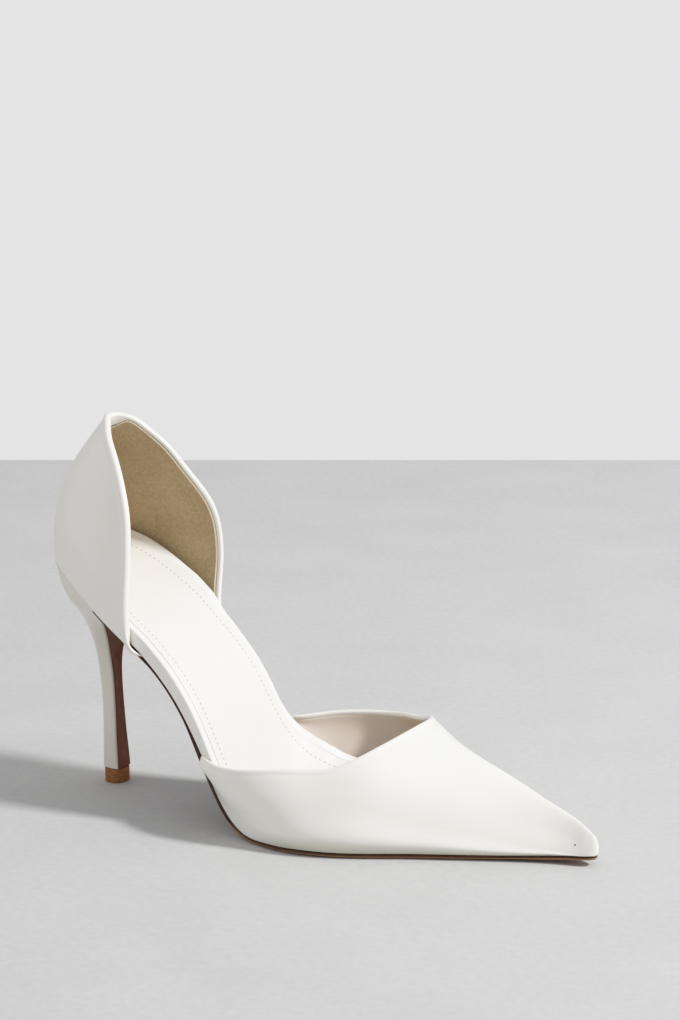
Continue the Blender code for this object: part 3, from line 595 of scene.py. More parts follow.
def vamp_points(distance, height):
    """Points at a distance from the top line along each column, and a height over the skin."""
    share = shares_at(VAMP_SHARE, VAMP_RUN, distance)
    place = VAMP_TOP[:, None] + (VAMP_FOOT - VAMP_TOP)[:, None] * share[..., None]
    x, across = place[..., 0], place[..., 1]
    back = np.where(across < 0.0, BACK_X[-1], BACK_X[1])
    part = np.clip((x - back) / SKIVE, 0.0, 1.0)
    height = height * (CORNER_THIN + (1.0 - CORNER_THIN) * part * (2.0 - part))
    toe = part_of(x, TOE_DRAW_REACH)
    x = x - TOE_DRAW * toe * toe * np.clip(-height / WALL, 0.0, 1.0)
    point = vamp_surface(x, across)
    ahead = vamp_surface(x + AHEAD_STEP, across) - vamp_surface(x - AHEAD_STEP, across)
    inner = vamp_surface(x, np.minimum(across + ACROSS_STEP, 1.0))
    outer = vamp_surface(x, np.maximum(across - ACROSS_STEP, -1.0))
    normal = unit(np.cross(ahead, inner - outer))
    found = point + normal * height[..., None]
    found[..., 2] = np.maximum(found[..., 2], floor_z(found[..., 0], found[..., 1], GAP / 2.0))
    found[..., 0] += nose_push(found)
    return found


VAMP_FULL = VAMP_RUN[:, -1]
VAMP_SCALE = np.minimum(1.0, VAMP_FULL / SHORT_COLUMN)[:, None]
print("columns scaled down for their length:", int((VAMP_FULL < SHORT_COLUMN).sum()))

# %% [markdown]
# The patent is folded in along the top line, so the edge is round and a little thicker than the rest. The
# wall swells over the ball and the toes and turns under to the sole, less so towards the tip. The soft
# dents behind the ball are where the skin has been pressed. Sculpting could give them, but here they are
# broad shallow troughs, each with its own place and depth, so that they stay the same on every run.

# %% Fold, swell and dents
FOLD_RADIUS = 0.9
# height, distance from the edge, reach
FOLD_WELT = (0.16, 1.3, 0.75)
FOLD_HOLLOW = (-0.07, 2.9, 0.7)
DENTS = (
    # x, z, reach along, reach up, depth
    (72.0, 22.0, 4.5, 4.0, 0.30),
    (80.0, 17.0, 6.0, 4.0, -0.22),
    (92.0, 24.5, 10.0, 2.6, 0.20),
    (88.0, 12.0, 8.0, 3.2, 0.25),
    (118.0, 26.0, 12.0, 3.0, 0.16),
)
TUCK_IN = 0.3
TUCK_HIGH = 1.5
SWELL = spline(
    (0.0, 1.5, 3.0, 4.5, 6.0, 7.5, 10.0, 13.0, 17.0, 23.0),
    (-1.4, -0.7, 0.05, 0.72, 1.12, 1.26, 1.12, 0.74, 0.3, 0.0),
)
SWELL_REACH = (82.0, 116.0)
TOE_SWELL = spline(
    (0.0, 1.5, 3.0, 4.5, 6.0, 8.0, 11.0, 15.0),
    (-0.9, -0.35, 0.14, 0.36, 0.38, 0.26, 0.08, 0.0),
)
TOE_REACH = (160.0, 196.0)
TIP_REACH = (203.0, 213.0)


def fade(distance, reach):
    """1 at no distance, falling evenly to 0 at the reach."""
    return np.clip(1.0 - distance / reach, 0.0, 1.0)


def hump(distance, height, middle, reach):
    """A soft bump along an edge, highest at its middle."""
    return height * np.exp(-(((distance - middle) / reach) ** 2))


def fold(distance, radius):
    """Half the thickness of a folded edge at a distance from its tip."""
    return np.sqrt(np.maximum(radius**2 - np.maximum(radius - distance, 0.0) ** 2, 0.0))


def vamp_outside(distance):
    """Height over the skin: the round of the fold and its slight thickness."""
    height = fold(distance, FOLD_RADIUS) - FOLD_RADIUS
    return height + hump(distance, *FOLD_WELT) + hump(distance, *FOLD_HOLLOW)


def foot_swell(points, left):
    """Height to add to the skin at a distance left over from the foot."""
    toe = smooth_part(points[..., 0], TOE_REACH)
    part = smooth_part(points[..., 0], SWELL_REACH)
    tuck = -TUCK_IN * fade(left, TUCK_HIGH) ** 2
    found = part * ((1.0 - toe) * SWELL(left) + toe * TOE_SWELL(left)) + (1.0 - part) * tuck
    return found * (1.0 - smooth_part(VAMP_FOOT[:, :1], TIP_REACH))


def dent_height(points):
    """Height that the dents take off the outer side."""
    found = np.zeros(points.shape[:-1])
    for x, z, long, tall, depth in DENTS:
        away = ((points[..., 0] - x) / long) ** 2 + ((points[..., 2] - z) / tall) ** 2
        found -= depth * np.exp(-away) * (points[..., 1] < 0.0)
    return found


print(len(DENTS), "dents in the outer side")

# %% [markdown]
# The vamp is the front upper in patent. Its rings run up the outside, round the fold and down behind the
# lining. At the tip of the toe both sides meet on one line, and the faces there that would lie face to
# face are left out. The low outer side gets a mark where the wall turns under, for painted shade there.

# %% Vamp
WALL_ROWS = 30
HIDDEN_ROWS = 12
VAMP_FOLD = columns_of(
    "inward height",
    (
        (0.12, -1.37),
        (0.3, -1.57),
        (0.55, -1.73),
        (0.9, -1.8),
        (1.4, -1.8),
        (1.9, -1.72),
        (2.0, -1.3),
    ),
)
PATENT_HIDDEN = (2.3,)
PATENT_BACK = -1.05
PATENT_FOOT = -0.5
PATENT_SHARP = 80.0
FOOT_HIGH = 5.0
# Painted shade on the low outer side: its height over the foot, and where it starts and ends along the
# foot.
PAINTED_SHADE_HIGH = 6.0
PAINTED_SHADE_START = (84.0, 108.0)
PAINTED_SHADE_END = (196.0, 211.0)


def vamp_rings(distance, height):
    """Rings of the vamp, with its two sides brought together on one line at the tip of the toe."""
    rings = vamp_points(distance, height)
    for column in VAMP_NOSE:
        other = len(rings) - 1 - column
        for row in (0, rings.shape[1] - 1):
            middle = 0.5 * (rings[column, row] + rings[other, row])
            rings[column, row] = middle
            rings[other, row] = middle
    return rings


def nose_faces(rings):
    """The closing faces between outside and inside at the tip, which would meet face to face."""
    around = rings.shape[1]
    return [column * around + around - 1 for column in VAMP_NOSE[:-1]]


def near_foot(distance):
    """1 at the foot of each column, and 0 a little way over it."""
    return fade(VAMP_FULL[:, None] - distance, FOOT_HIGH) ** 2


def build_vamp():
    outside = row_marks(VAMP_FULL, EDGE_ROWS, FOOT_ROWS, WALL_ROWS)[:, ::-1]
    height = vamp_outside(outside / VAMP_SCALE) * VAMP_SCALE
    outer = vamp_points(outside, height)
    height = height + dent_height(outer) + foot_swell(outer, VAMP_FULL[:, None] - outside)
    fold_in, fold_high = (VAMP_FOLD[name][None] * VAMP_SCALE for name in ("inward", "height"))
    hidden = row_marks(VAMP_FULL, PATENT_HIDDEN, FOOT_ROWS, HIDDEN_ROWS)
    under = PATENT_BACK + PATENT_FOOT * near_foot(hidden)
    distance = np.concatenate([outside, fold_in, hidden], axis=1)
    height = np.concatenate([height, fold_high, under * VAMP_SCALE], axis=1)
    rings = vamp_rings(distance, height)
    # Painted shade: a mark that darkens the low outer side where it turns under to the sole.
    painted_shade_band = fade(VAMP_FULL[:, None] - distance, PAINTED_SHADE_HIGH) * smooth_part(rings[..., 0], PAINTED_SHADE_START)
    painted_shade_band = painted_shade_band * (1.0 - smooth_part(rings[..., 0], PAINTED_SHADE_END)) * (rings[..., 1] < 0.0)
    return ring_piece("vamp_patent", rings, nose_faces(rings), {"painted_shade_band": painted_shade_band}, PATENT_SHARP)


build_vamp()

# %% [markdown]
# The lining is a thin leather that covers the vamp's inside and thins out under the fold of the patent. It
# is made as the patent is. Its mark, for painted shade in the material, grows towards the toe, where less
# light comes in.

# %% Vamp lining
LINING_ROWS = (1.55, 1.75, 2.0, 2.4, 3.0, 4.0)
LINING_THIN = 0.55
LINING_THIN_REACH = 1.3
LINING_HIDDEN = (1.7, 2.6)
LINING_BACK = -1.2
LINING_FOOT = -0.45
LINING_SHADE = (86.0, 118.0)


def build_vamp_lining():
    inside = row_marks(VAMP_FULL, LINING_ROWS, FOOT_ROWS, WALL_ROWS)[:, ::-1]
    start = inside / VAMP_SCALE - LINING_ROWS[0]
    height = -WALL + LINING_THIN * fade(start, LINING_THIN_REACH) ** 2
    hidden = row_marks(VAMP_FULL, LINING_HIDDEN, FOOT_ROWS, HIDDEN_ROWS)
    under = LINING_BACK + LINING_FOOT * near_foot(hidden)
    distance = np.concatenate([inside, hidden], axis=1)
    rings = vamp_rings(distance, np.concatenate([height, under], axis=1) * VAMP_SCALE)
    shade = smooth_part(rings[..., 0], LINING_SHADE)
    return ring_piece("vamp_lining", rings, nose_faces(rings), {"shade": shade})


build_vamp_lining()

# %% [markdown]
# Low on the outer side of the toe there is one pinhole. It could be cut, but it is so small that a flat
# dark bead, sunk in the skin, shows it as well and leaves the skin whole. Its dark colour is painted shade
# of the hole.

# %% Pinhole
PINHOLE_SPOT = np.array([205.64, 3.31, 7.8])
PINHOLE_OUT = np.array([0.105, -0.865, 0.49])
PINHOLE_SIZE = (0.34, 0.34, 0.1)
UPRIGHT = np.array([0.0, 0.0, 1.0])


def place_bead(bead, size, axes, spot):
    """Gives a bead of radius 1 its size along three axes, and its spot."""
    shape = np.array([corner.co for corner in bead.data.vertices]) * size
    turned = shape @ np.stack(axes) + spot
    bead.data.vertices.foreach_set("co", ((turned + SHIFT) * MM).ravel())
    bead.data.update()


def build_pinhole():
    deselect()
    bpy.ops.mesh.primitive_uv_sphere_add(segments=16, ring_count=8, radius=1.0)
    piece = bpy.context.object
    piece.name = "vamp_pinhole"
    out = unit(PINHOLE_OUT)
    level = unit(np.cross(UPRIGHT, out))
    place_bead(piece, PINHOLE_SIZE, (level, np.cross(out, level), out), PINHOLE_SPOT)
    bpy.ops.object.shade_smooth()
    PIECES["vamp_pinhole"] = piece
    print("vamp_pinhole", len(piece.data.polygons), "faces")


build_pinhole()

# %% [markdown]
# The counter's front edge is a leaf: from a corner low on each side up to a rounded point at the back.
# The patent is folded round a thick edge there, which stands out as a soft bead 3.6 mm wide. As on the
# vamp, the wall is drawn as columns, which run from this edge down to the foot of the counter.

# %% Columns of the counter
COUNTER_TOP_Z = 152.4
COUNTER_CORNER = 0.985
COUNTER_COLUMNS = 104
COUNTER_SAMPLES = 400
SEAM_RISE = -0.1
COLUMN_STEP = 0.02
SLANT_LEAST = 0.4
SHORT_EDGE = 9.0
SHORT_LIFT = 5.0
COUNTER_EDGE = splines_of(
    "step lateral_x lateral_z medial_x medial_z",
    (
        (0.0, 28.2, 66.4, 34.8, 62.6),
        (0.15, 27.6, 79.0, 33.2, 76.6),
        (0.3, 27.8, 91.0, 32.8, 89.6),
        (0.45, 27.0, 103.0, 32.2, 102.4),
        (0.6, 24.3, 115.6, 30.2, 115.0),
        (0.75, 18.7, 128.6, 24.7, 127.6),
        (0.88, 11.2, 140.8, 17.0, 140.0),
        (0.95, 6.2, 147.2, 10.8, 146.8),
        (0.985, 3.0, 151.2, 5.4, 151.2),
        (1.0, 1.4, COUNTER_TOP_Z, 1.4, COUNTER_TOP_Z),
    ),
)


def counter_half(side):
    """Edge and foot of each column, from the back to the corner."""
    part = np.linspace(0.0, 1.0, COUNTER_SAMPLES) ** 2 * COUNTER_CORNER
    z = COUNTER_EDGE[SIDES[side] + "_z"](1.0 - part)
    turn = counter_turn(COUNTER_EDGE[SIDES[side] + "_x"](1.0 - part), z, side)
    turn[0], z[0] = 0.0, COUNTER_TOP_Z
    edge = even_run(counter_surface(turn, z), np.stack([turn, z], axis=1), COUNTER_COLUMNS)
    foot = np.linspace(0.0, float(turn[-1]), COUNTER_COLUMNS)
    return edge, np.stack([foot, counter_foot(foot, SEAM_RISE)], axis=1)


OUTER_EDGE, OUTER_SEAT = counter_half(-1)
INNER_EDGE, INNER_SEAT = counter_half(1)
COUNTER_TOP = np.concatenate([OUTER_EDGE[::-1], INNER_EDGE[1:]])
COUNTER_FOOT = np.concatenate([OUTER_SEAT[::-1], INNER_SEAT[1:]])
COUNTER_SHARE, COUNTER_RUN = walk(counter_surface, COUNTER_TOP, COUNTER_FOOT)
COUNTER_FULL = COUNTER_RUN[:, -1]
EDGE_POINTS = counter_surface(COUNTER_TOP[:, 0], COUNTER_TOP[:, 1])
EDGE_RUN = unit(np.gradient(EDGE_POINTS, axis=0))
STEP_IN = COUNTER_TOP + (COUNTER_FOOT - COUNTER_TOP) * COLUMN_STEP
COLUMN_RUN = unit(counter_surface(STEP_IN[:, 0], STEP_IN[:, 1]) - EDGE_POINTS)
# A column that leaves the edge on a slant is longer for the same distance from the edge.
SLANT = np.linalg.norm(np.cross(EDGE_RUN, COLUMN_RUN), axis=1)
COUNTER_SCALE = np.minimum(1.0 / np.maximum(SLANT, SLANT_LEAST), COUNTER_FULL / SHORT_EDGE)[:, None]
COUNTER_LIFT = np.minimum(1.0, COUNTER_FULL / SHORT_LIFT)[:, None]
print(len(EDGE_POINTS), "columns on the counter, the longest", round(float(COUNTER_FULL.max()), 1), "mm")

# %% [markdown]
# Three layers make the counter's wall: the patent with its bead, a thin cream edge where the lining is
# turned in, and the lining itself. At the top of the back the patent is folded further over the inside
# and trimmed on a slant, so its fold reaches deeper there. The layers are rings too, as on the vamp.

# %% Counter
BEAD_RADIUS = 1.2
BEAD_WIDE = 3.6
BEAD_HIGH = 0.36
BEAD_PEAK = 1.5
# height, distance from the edge, reach
BEAD_HOLLOW = (-0.03, BEAD_WIDE + 0.3, 0.6)
TURN_STEP = 0.01
UP_STEP = 0.5
FOLD_TABLE = columns_of(
    "run reach",
    (
        (-11.0, 1.2),
        (-4.0, 6.6),
        (2.5, 7.6),
        (5.5, 5.2),
        (9.0, 1.2),
    ),
)
COUNTER_ROWS = 34
COUNTER_TUCK = 0.22
COUNTER_TUCK_HIGH = 1.2
# The first shares of the fold are of its round edge, the others of its whole reach.
FOLD_EDGE_SHARES = np.array([[0.06, 0.15, 0.28, 0.45]])
FOLD_EDGE_REACH = 1.4
FOLD_SHARES = np.array([[0.7, 0.93, 1.0]])
FOLD_HEIGHTS = np.array([[-1.72, -1.98, -2.2, -2.32, -2.34, -2.28, -1.9]])
BEHIND_START = 8.0
BEHIND_NEAR = (0.3,)
BEHIND_FAR = (0.0, 1.0)
BEHIND_ROWS = 14
BEHIND_HEIGHT = -1.15


def counter_points(distance, height):
    """Points at a distance from the edge along each column, and a height over the skin."""
    share = shares_at(COUNTER_SHARE, COUNTER_RUN, distance)
    place = COUNTER_TOP[:, None] + (COUNTER_FOOT - COUNTER_TOP)[:, None] * share[..., None]
    turn, z = place[..., 0], place[..., 1]
    point = counter_surface(turn, z)
    around = counter_surface(turn + TURN_STEP, z) - counter_surface(turn - TURN_STEP, z)
    upward = counter_surface(turn, z + UP_STEP) - counter_surface(turn, z - UP_STEP)
    normal = unit(np.cross(upward, around))
    found = point + normal * height[..., None]
    low = floor_z(found[..., 0], found[..., 1], SEAM_RISE)
    found[..., 2] = np.maximum(found[..., 2], low)
    return found


def counter_outside(distance):
    """Height over the skin: the round of the fold, the bead, and a slight hollow beside it."""
    height = fold(distance, BEAD_RADIUS) - BEAD_RADIUS
    inside = np.clip(distance / BEAD_WIDE, 0.0, 1.0)
    height = height + BEAD_HIGH * np.sin(math.pi * inside) ** BEAD_PEAK
    return height + hump(distance, *BEAD_HOLLOW)


def fold_reach():
    """How far the patent is folded inwards: further at the top of the back."""
    run = run_length(EDGE_POINTS)
    run -= run[len(run) // 2]
    return np.interp(run, FOLD_TABLE["run"], FOLD_TABLE["reach"])[:, None]


FOLD_REACH = fold_reach()
COUNTER_LONG = COUNTER_FULL[:, None] / COUNTER_SCALE


def counter_rings(distance, height):
    """Rings of the counter, from distances and heights that suit a long upright column."""
    distance = np.minimum(distance * COUNTER_SCALE, COUNTER_FULL[:, None])
    return counter_points(distance, height * COUNTER_LIFT)


def build_counter():
    rows = row_marks(COUNTER_LONG[:, 0], EDGE_ROWS, FOOT_ROWS, COUNTER_ROWS)[:, ::-1]
    height = counter_outside(rows)
    height = height - COUNTER_TUCK * fade(COUNTER_LONG - rows, COUNTER_TUCK_HIGH) ** 2
    round_edge = FOLD_EDGE_SHARES * FOLD_EDGE_REACH + 0.0 * FOLD_REACH
    under = FOLD_HEIGHTS + 0.0 * FOLD_REACH
    behind = row_marks(COUNTER_LONG[:, 0] - BEHIND_START, BEHIND_NEAR, BEHIND_FAR, BEHIND_ROWS)
    behind = behind + BEHIND_START
    distance = np.concatenate([rows, round_edge, FOLD_SHARES * FOLD_REACH, behind], axis=1)
    height = np.concatenate([height, under, np.full_like(behind, BEHIND_HEIGHT)], axis=1)
    return ring_piece("counter_patent", counter_rings(distance, height))


build_counter()

# %% [markdown]
# Inside, a groove parts the fold of the patent from the lining. Beyond it the lining's own turned edge
# shows as a thin cream strip, which is a flat tube along the edge. The lining is one more layer of rings.
# Its points in the groove get a mark, so that the material paints shade there, darker in the recess.

# %% Counter lining and its turned edge
GROOVE = 0.85
CREAM_SIDES = 14
CREAM_HALF_WIDE = 0.42
CREAM_HALF_THICK = 0.34
CREAM_HEIGHT = -2.06
COUNTER_LINING_ROWS = 44
COUNTER_LINING_CROWD = 1.15
COUNTER_LINING_START = 0.3
COUNTER_LINING_HEIGHT = -2.02
COUNTER_LINING_BACK = -1.25
GROOVE_STEPS = np.array([[GROOVE, GROOVE - 0.1, 0.1, -0.3]])
GROOVE_HEIGHTS = np.array([[-1.95, -1.6, -1.5, -1.5]])


def full_turn(count):
    return np.linspace(0.0, 2.0 * math.pi, count, endpoint=False)


def build_counter_cream():
    turn = full_turn(CREAM_SIDES)[None]
    along = FOLD_REACH + GROOVE + CREAM_HALF_WIDE + CREAM_HALF_WIDE * np.cos(turn)
    height = CREAM_HEIGHT - CREAM_HALF_THICK * np.sin(turn) * COUNTER_LIFT
    return ring_piece("counter_edge_line", counter_rings(along, height))


def build_counter_lining():
    share = np.linspace(0.0, 1.0, COUNTER_LINING_ROWS)[None] ** COUNTER_LINING_CROWD
    start = FOLD_REACH + GROOVE + COUNTER_LINING_START
    inside = (start + (COUNTER_LONG - start) * share)[:, ::-1]
    groove = FOLD_REACH + GROOVE_STEPS
    low = GROOVE_HEIGHTS + 0.0 * groove
    hidden = FOLD_REACH + (COUNTER_LONG - FOLD_REACH) * np.linspace(0.0, 1.0, BEHIND_ROWS)[None]
    distance = np.concatenate([inside, groove, hidden], axis=1)
    back = np.full_like(hidden, COUNTER_LINING_BACK)
    height = np.concatenate([np.full_like(inside, COUNTER_LINING_HEIGHT), low, back], axis=1)
    # The groove's points are marked for painted shade.
    mark = [np.zeros_like(inside), np.ones_like(groove), np.zeros_like(hidden)]
    rings = counter_rings(distance, height)
    return ring_piece("counter_lining", rings, marks={"groove": np.concatenate(mark, axis=1)})


build_counter_cream()
build_counter_lining()

# %% [markdown]
# At the low corners the bead doesn't stop: it curls round the corner and tucks under the board. It is a
# soft tube that flattens to its end, drawn along a short curve from the corner, once for each side.

# %% Curls under the corners
CURL = (
    # forward, inward, up from the corner, half width, half thickness
    (-1.3, -0.35, 6.5, 0.9, 0.5),
    (-1.1, -0.45, 3.6, 1.25, 0.8),
    (-0.5, -0.2, 0.6, 1.3, 0.85),
    (0.6, 0.6, -1.6, 1.25, 0.8),
    (2.6, 1.6, -3.2, 1.1, 0.7),
    (4.6, 3.4, -4.4, 0.9, 0.5),
)
CURL_STATIONS = 40
CURL_SIDES = 16
CURL_OUTWARD = np.array([-0.25, 1.0, -0.1])
CURL_TURN_DOWN = 1.2
CURL_END = 0.04


def build_curl(name, side):
    corner = EDGE_POINTS[0 if side < 0 else -1]
    station = np.linspace(0.0, 1.0, CURL_STATIONS)
    data = spline(np.linspace(0.0, 1.0, len(CURL)), CURL)(station)
    path = corner + data[:, :3] * (1.0, -side, 1.0)
    run = unit(np.gradient(path, axis=0))
    outward = CURL_OUTWARD * (1.0, side, 1.0) - CURL_TURN_DOWN * station[:, None] * UPRIGHT
    wide = unit(np.cross(run, outward))
    thick = np.cross(wide, run)
    turn = full_turn(CURL_SIDES)[None, :, None]
    ends = np.sin(np.linspace(CURL_END, math.pi - CURL_END, CURL_STATIONS)) ** 0.25
    half_wide = wide[:, None] * data[:, None, 3:4]
    half_thick = thick[:, None] * data[:, None, 4:5]
    rings = path[:, None] + ends[:, None, None] * (half_wide * np.cos(turn) + half_thick * np.sin(turn))
    return ring_piece(name, rings)


build_curl("counter_curl_outer", -1)
build_curl("counter_curl_inner", 1)

# %% [markdown]
# The wearer's foot lies on a bed that is flat along its middle and climbs at its edges: round the back of
# the seat, up the counter on the inner side, and up the inner wing at the ball. The board's cover and the
# sock follow the same climb, so it is one function, with a table of how high each side goes.

# %% The bed
SEAT_RISE = columns_of(
    "x medial lateral",
    (
        (-26.0, 4.6, 3.4),
        (-14.0, 6.4, 2.0),
        (-4.0, 6.6, 1.0),
        (18.0, 6.0, 0.8),
        (26.0, 4.6, 0.5),
        (34.0, 1.4, 0.2),
        (42.0, 0.0, 0.0),
        (60.0, 0.0, 0.0),
        (64.0, 1.8, 0.0),
        (69.0, 5.8, 0.0),
        (73.0, 9.2, 0.4),
        (78.0, 11.6, 0.8),
        (82.0, 12.0, 1.0),
        (90.0, 9.8, 1.0),
        (97.0, 7.8, 0.8),
        (110.0, 4.8, 0.4),
        (132.0, 1.4, 0.0),
        (150.0, 0.0, 0.0),
    ),
)
SEAT_HOLLOW_POWER = 2.2
SEAT_FLARE = 0.16
SEAT_END = (42.0, 60.0)
SEAT_BACK = (-21.0, -5.0)
SEAT_BLEND = 8.0


def seat_points(x, y, low, high, rise):
    """Points of the bed between its outer and inner edge, at a rise over the bottom line."""
    middle = 0.5 * (low + high)
    off = np.clip((y - middle) / (0.5 * (high - low)), -1.0, 1.0)
    part = np.abs(off) ** SEAT_HOLLOW_POWER
    medial = np.interp(x, SEAT_RISE["x"], SEAT_RISE["medial"])
    lateral = np.interp(x, SEAT_RISE["x"], SEAT_RISE["lateral"])
    part = 1.0 - (1.0 - part) * smooth_part(x, SEAT_BACK)
    climb = (lateral + (medial - lateral) * smooth_part(y - middle, (-SEAT_BLEND, SEAT_BLEND))) * part
    upright_share = smooth_part(x, SEAT_END)
    flared = y + off * SEAT_FLARE * climb
    found = rib_points(x, flared, rise + climb * (1.0 - upright_share))
    found[..., 2] += climb * upright_share
    return found


print("the bed climbs by up to", SEAT_RISE["medial"].max(), "mm")

# %% [markdown]
# The insole board is covered in white and shows as a rim along the open waist: a flat top band, a round
# edge and an upright side. Each of its ribs is a closed ring: up the outer side, over the rim, down to the
# bed under the sock, and the same back on the inner side.

# %% Insole
BOARD_INSET = WALL + GAP
BOARD_BACK_CLEAR = 0.2
BOARD_TOE_X = 202.0
BOARD_LEAN = 0.9
BOARD_STATIONS = 170
SIDE_POINTS = 5
ROUND_POINTS = 7
BED_POINTS = 13
UNDER_POINTS = 7
BOARD_ROUND = 1.0
BOARD_ROUND_MOST = 0.2  # of half the width, where the board is narrow
BOARD_BULGE = 0.18
RIM_MOST = 0.5
RIM_ROUND = 0.3
RIM_DROP = 0.08
LEAN_REACH = (110.0, 150.0)
SOCK_THICK = 1.0
SOCK_INSET = 3.0
SOCK_SLIT = 0.08


def drawn_in(inset, back_clear, toe_x, lean, count):
    """Stations with the outer and inner y of the outline drawn in, and further in by lean at the toes."""
    back_x = HEEL_BACK_X + inset + back_clear
    x, low, high = inset_outline(lambda at: np.full_like(at, inset), back_x, toe_x, count)
    lean = lean * part_of(x, LEAN_REACH)
    return x[:, None], (low + lean)[:, None], (high - lean)[:, None]


def build_insole():
    x, low, high = drawn_in(BOARD_INSET, BOARD_BACK_CLEAR, BOARD_TOE_X, BOARD_LEAN, BOARD_STATIONS)
    half = 0.5 * (high - low)
    thick = bottom_measure("board", x)
    edge = np.minimum(BOARD_ROUND, BOARD_ROUND_MOST * half)
    rim = np.minimum(SOCK_INSET - SOCK_SLIT, RIM_MOST * half)
    bed = thick - SOCK_THICK
    turn = np.linspace(0.0, math.pi / 2.0, ROUND_POINTS)[None]
    side = np.linspace(0.0, 1.0, SIDE_POINTS)[None, :-1]
    reach = [-BOARD_BULGE * np.sin(math.pi * side), edge * (1.0 - np.cos(turn))]
    height = [GAP / 2.0 + (thick - edge - GAP / 2.0) * side, thick - edge * (1.0 - np.sin(turn))]
    reach += [rim - RIM_ROUND, rim - RIM_DROP, rim]
    height += [thick, thick - RIM_DROP, bed]
    reach = np.concatenate([part + 0.0 * half for part in reach], axis=1)
    height = np.concatenate([part + 0.0 * half for part in height], axis=1)
    across = np.linspace(0.0, 1.0, BED_POINTS)[None, 1:-1]
    middle = low + rim + (high - low - 2.0 * rim) * across
    y = np.concatenate([low + reach, middle, high - reach[:, ::-1]], axis=1)
    height = np.concatenate([height, bed + 0.0 * across, height[:, ::-1]], axis=1)
    upper = seat_points(x + 0.0 * y, y, low, high, height)
    y = high + (low - high) * np.linspace(0.0, 1.0, UNDER_POINTS)[None, 1:-1]
    under = rib_points(x + 0.0 * y, y, np.full_like(y, GAP / 2.0))
    return ring_piece("insole_cover", np.concatenate([upper, under], axis=1))


build_insole()

# %% [markdown]
# The sock is a thin sheet glued into the rim. Its outer edge is pressed down a little more than its inner
# one. As the bed gives its shape, it is again one ring for each station along the foot, over and under.

# %% Sock
SOCK_BACK_CLEAR = 1.2
SOCK_TOE_X = 194.0
SOCK_LEAN = 1.6
SOCK_STATIONS = 170
SOCK_OUTER_SHARES = (0.0, 0.004, 0.012, 0.025)
SOCK_MIDDLE_SHARES = np.linspace(0.05, 0.95, 35)
SOCK_INNER_SHARES = (0.975, 0.988, 0.996, 1.0)
SOCK_UNDER_SHARES = np.linspace(0.0, 1.0, 11)
SOCK_EDGE_SHARE = 0.02
SOCK_DROP_OUTER = 0.2
SOCK_DROP_INNER = 0.06


def sock_outline(count):
    return drawn_in(BOARD_INSET + SOCK_INSET, SOCK_BACK_CLEAR, SOCK_TOE_X, SOCK_LEAN, count)


def sock_points(x, y, low, high, rise):
    """Points of the bed at a rise over the bottom line, from the outline of the sock."""
    return seat_points(x + 0.0 * y, y, low - SOCK_INSET, high + SOCK_INSET, rise + 0.0 * y)


def build_sock():
    x, low, high = sock_outline(SOCK_STATIONS)
    base = bottom_measure("board", x) - SOCK_THICK + GAP
    share = np.concatenate([SOCK_OUTER_SHARES, SOCK_MIDDLE_SHARES, SOCK_INNER_SHARES])
    near_edge = fade(np.minimum(share, 1.0 - share), SOCK_EDGE_SHARE)
    drop = np.where(share < 0.5, SOCK_DROP_OUTER, SOCK_DROP_INNER) * near_edge**2
    upper = sock_points(x, low + (high - low) * share[None], low, high, base + SOCK_THICK - drop[None])
    lower = sock_points(x, high + (low - high) * SOCK_UNDER_SHARES[None], low, high, base)
    return ring_piece("sock_cover", np.concatenate([upper, lower], axis=1))


build_sock()

# %% [markdown]
# A row of stitches holds the sock's edge, about 3.6 mm inside it. From above each shows as a short dark
# dent. One dent is modelled as a small flat bead and copied along both sides, turned to the line; its grey
# is painted shade of the stitch hole.

# %% Sock stitches
STITCH_INSET = 3.6
STITCH_PITCH = 2.1
STITCH_SIZE = (0.55, 0.24, 0.1)
STITCH_SAMPLES = 420
STITCH_BACK_X = HEEL_BACK_X + 11.0
STITCH_FRONT_X = 150.0
STITCH_AHEAD = 0.5


def stitch_line(side):
    x, low, high = (part[:, 0] for part in sock_outline(STITCH_SAMPLES))
    y = high - STITCH_INSET if side > 0 else low + STITCH_INSET
    keep = (x > STITCH_BACK_X) & (x < STITCH_FRONT_X)
    x, y, low, high = x[keep], y[keep], low[keep], high[keep]
    return sock_points(x, y, low, high, bottom_measure("board", x) + GAP)


def build_stitches():
    deselect()
    bpy.ops.mesh.primitive_uv_sphere_add(segments=8, ring_count=5, radius=1.0)
    bead = bpy.context.object
    copies = []
    for side in (-1, 1):
        line = stitch_line(side)
        length = run_length(line)
        place = np.arange(STITCH_PITCH, length[-1], STITCH_PITCH)
        spots, next_spots = (
            np.stack([np.interp(wanted, length, line[:, axis]) for axis in range(3)], axis=1)
            for wanted in (place, place + STITCH_AHEAD)
        )
        for spot, ahead in zip(spots, unit(next_spots - spots)):
            sideways = unit(np.cross(UPRIGHT, ahead))
            copy = bead.copy()
            copy.data = bead.data.copy()
            bpy.context.scene.collection.objects.link(copy)
            place_bead(copy, STITCH_SIZE, (ahead, sideways, np.cross(ahead, sideways)), spot)
            copies.append(copy)
    bpy.data.objects.remove(bead)
    deselect()
    for copy in copies:
        copy.select_set(True)
    bpy.context.view_layer.objects.active = copies[0]
    bpy.ops.object.join()
    piece = bpy.context.object
    piece.name = "sock_stitches"
    bpy.ops.object.shade_smooth()
    PIECES["sock_stitches"] = piece
    print("sock_stitches", len(copies), "copies")


build_stitches()

# %% [markdown]
# The outsole is a thin layer from the heel breast to the toe. Its upper line is dark, and its lower edge,
# trimmed and rubbed, is lighter. Each point keeps how deep it lies in the edge, for the material.

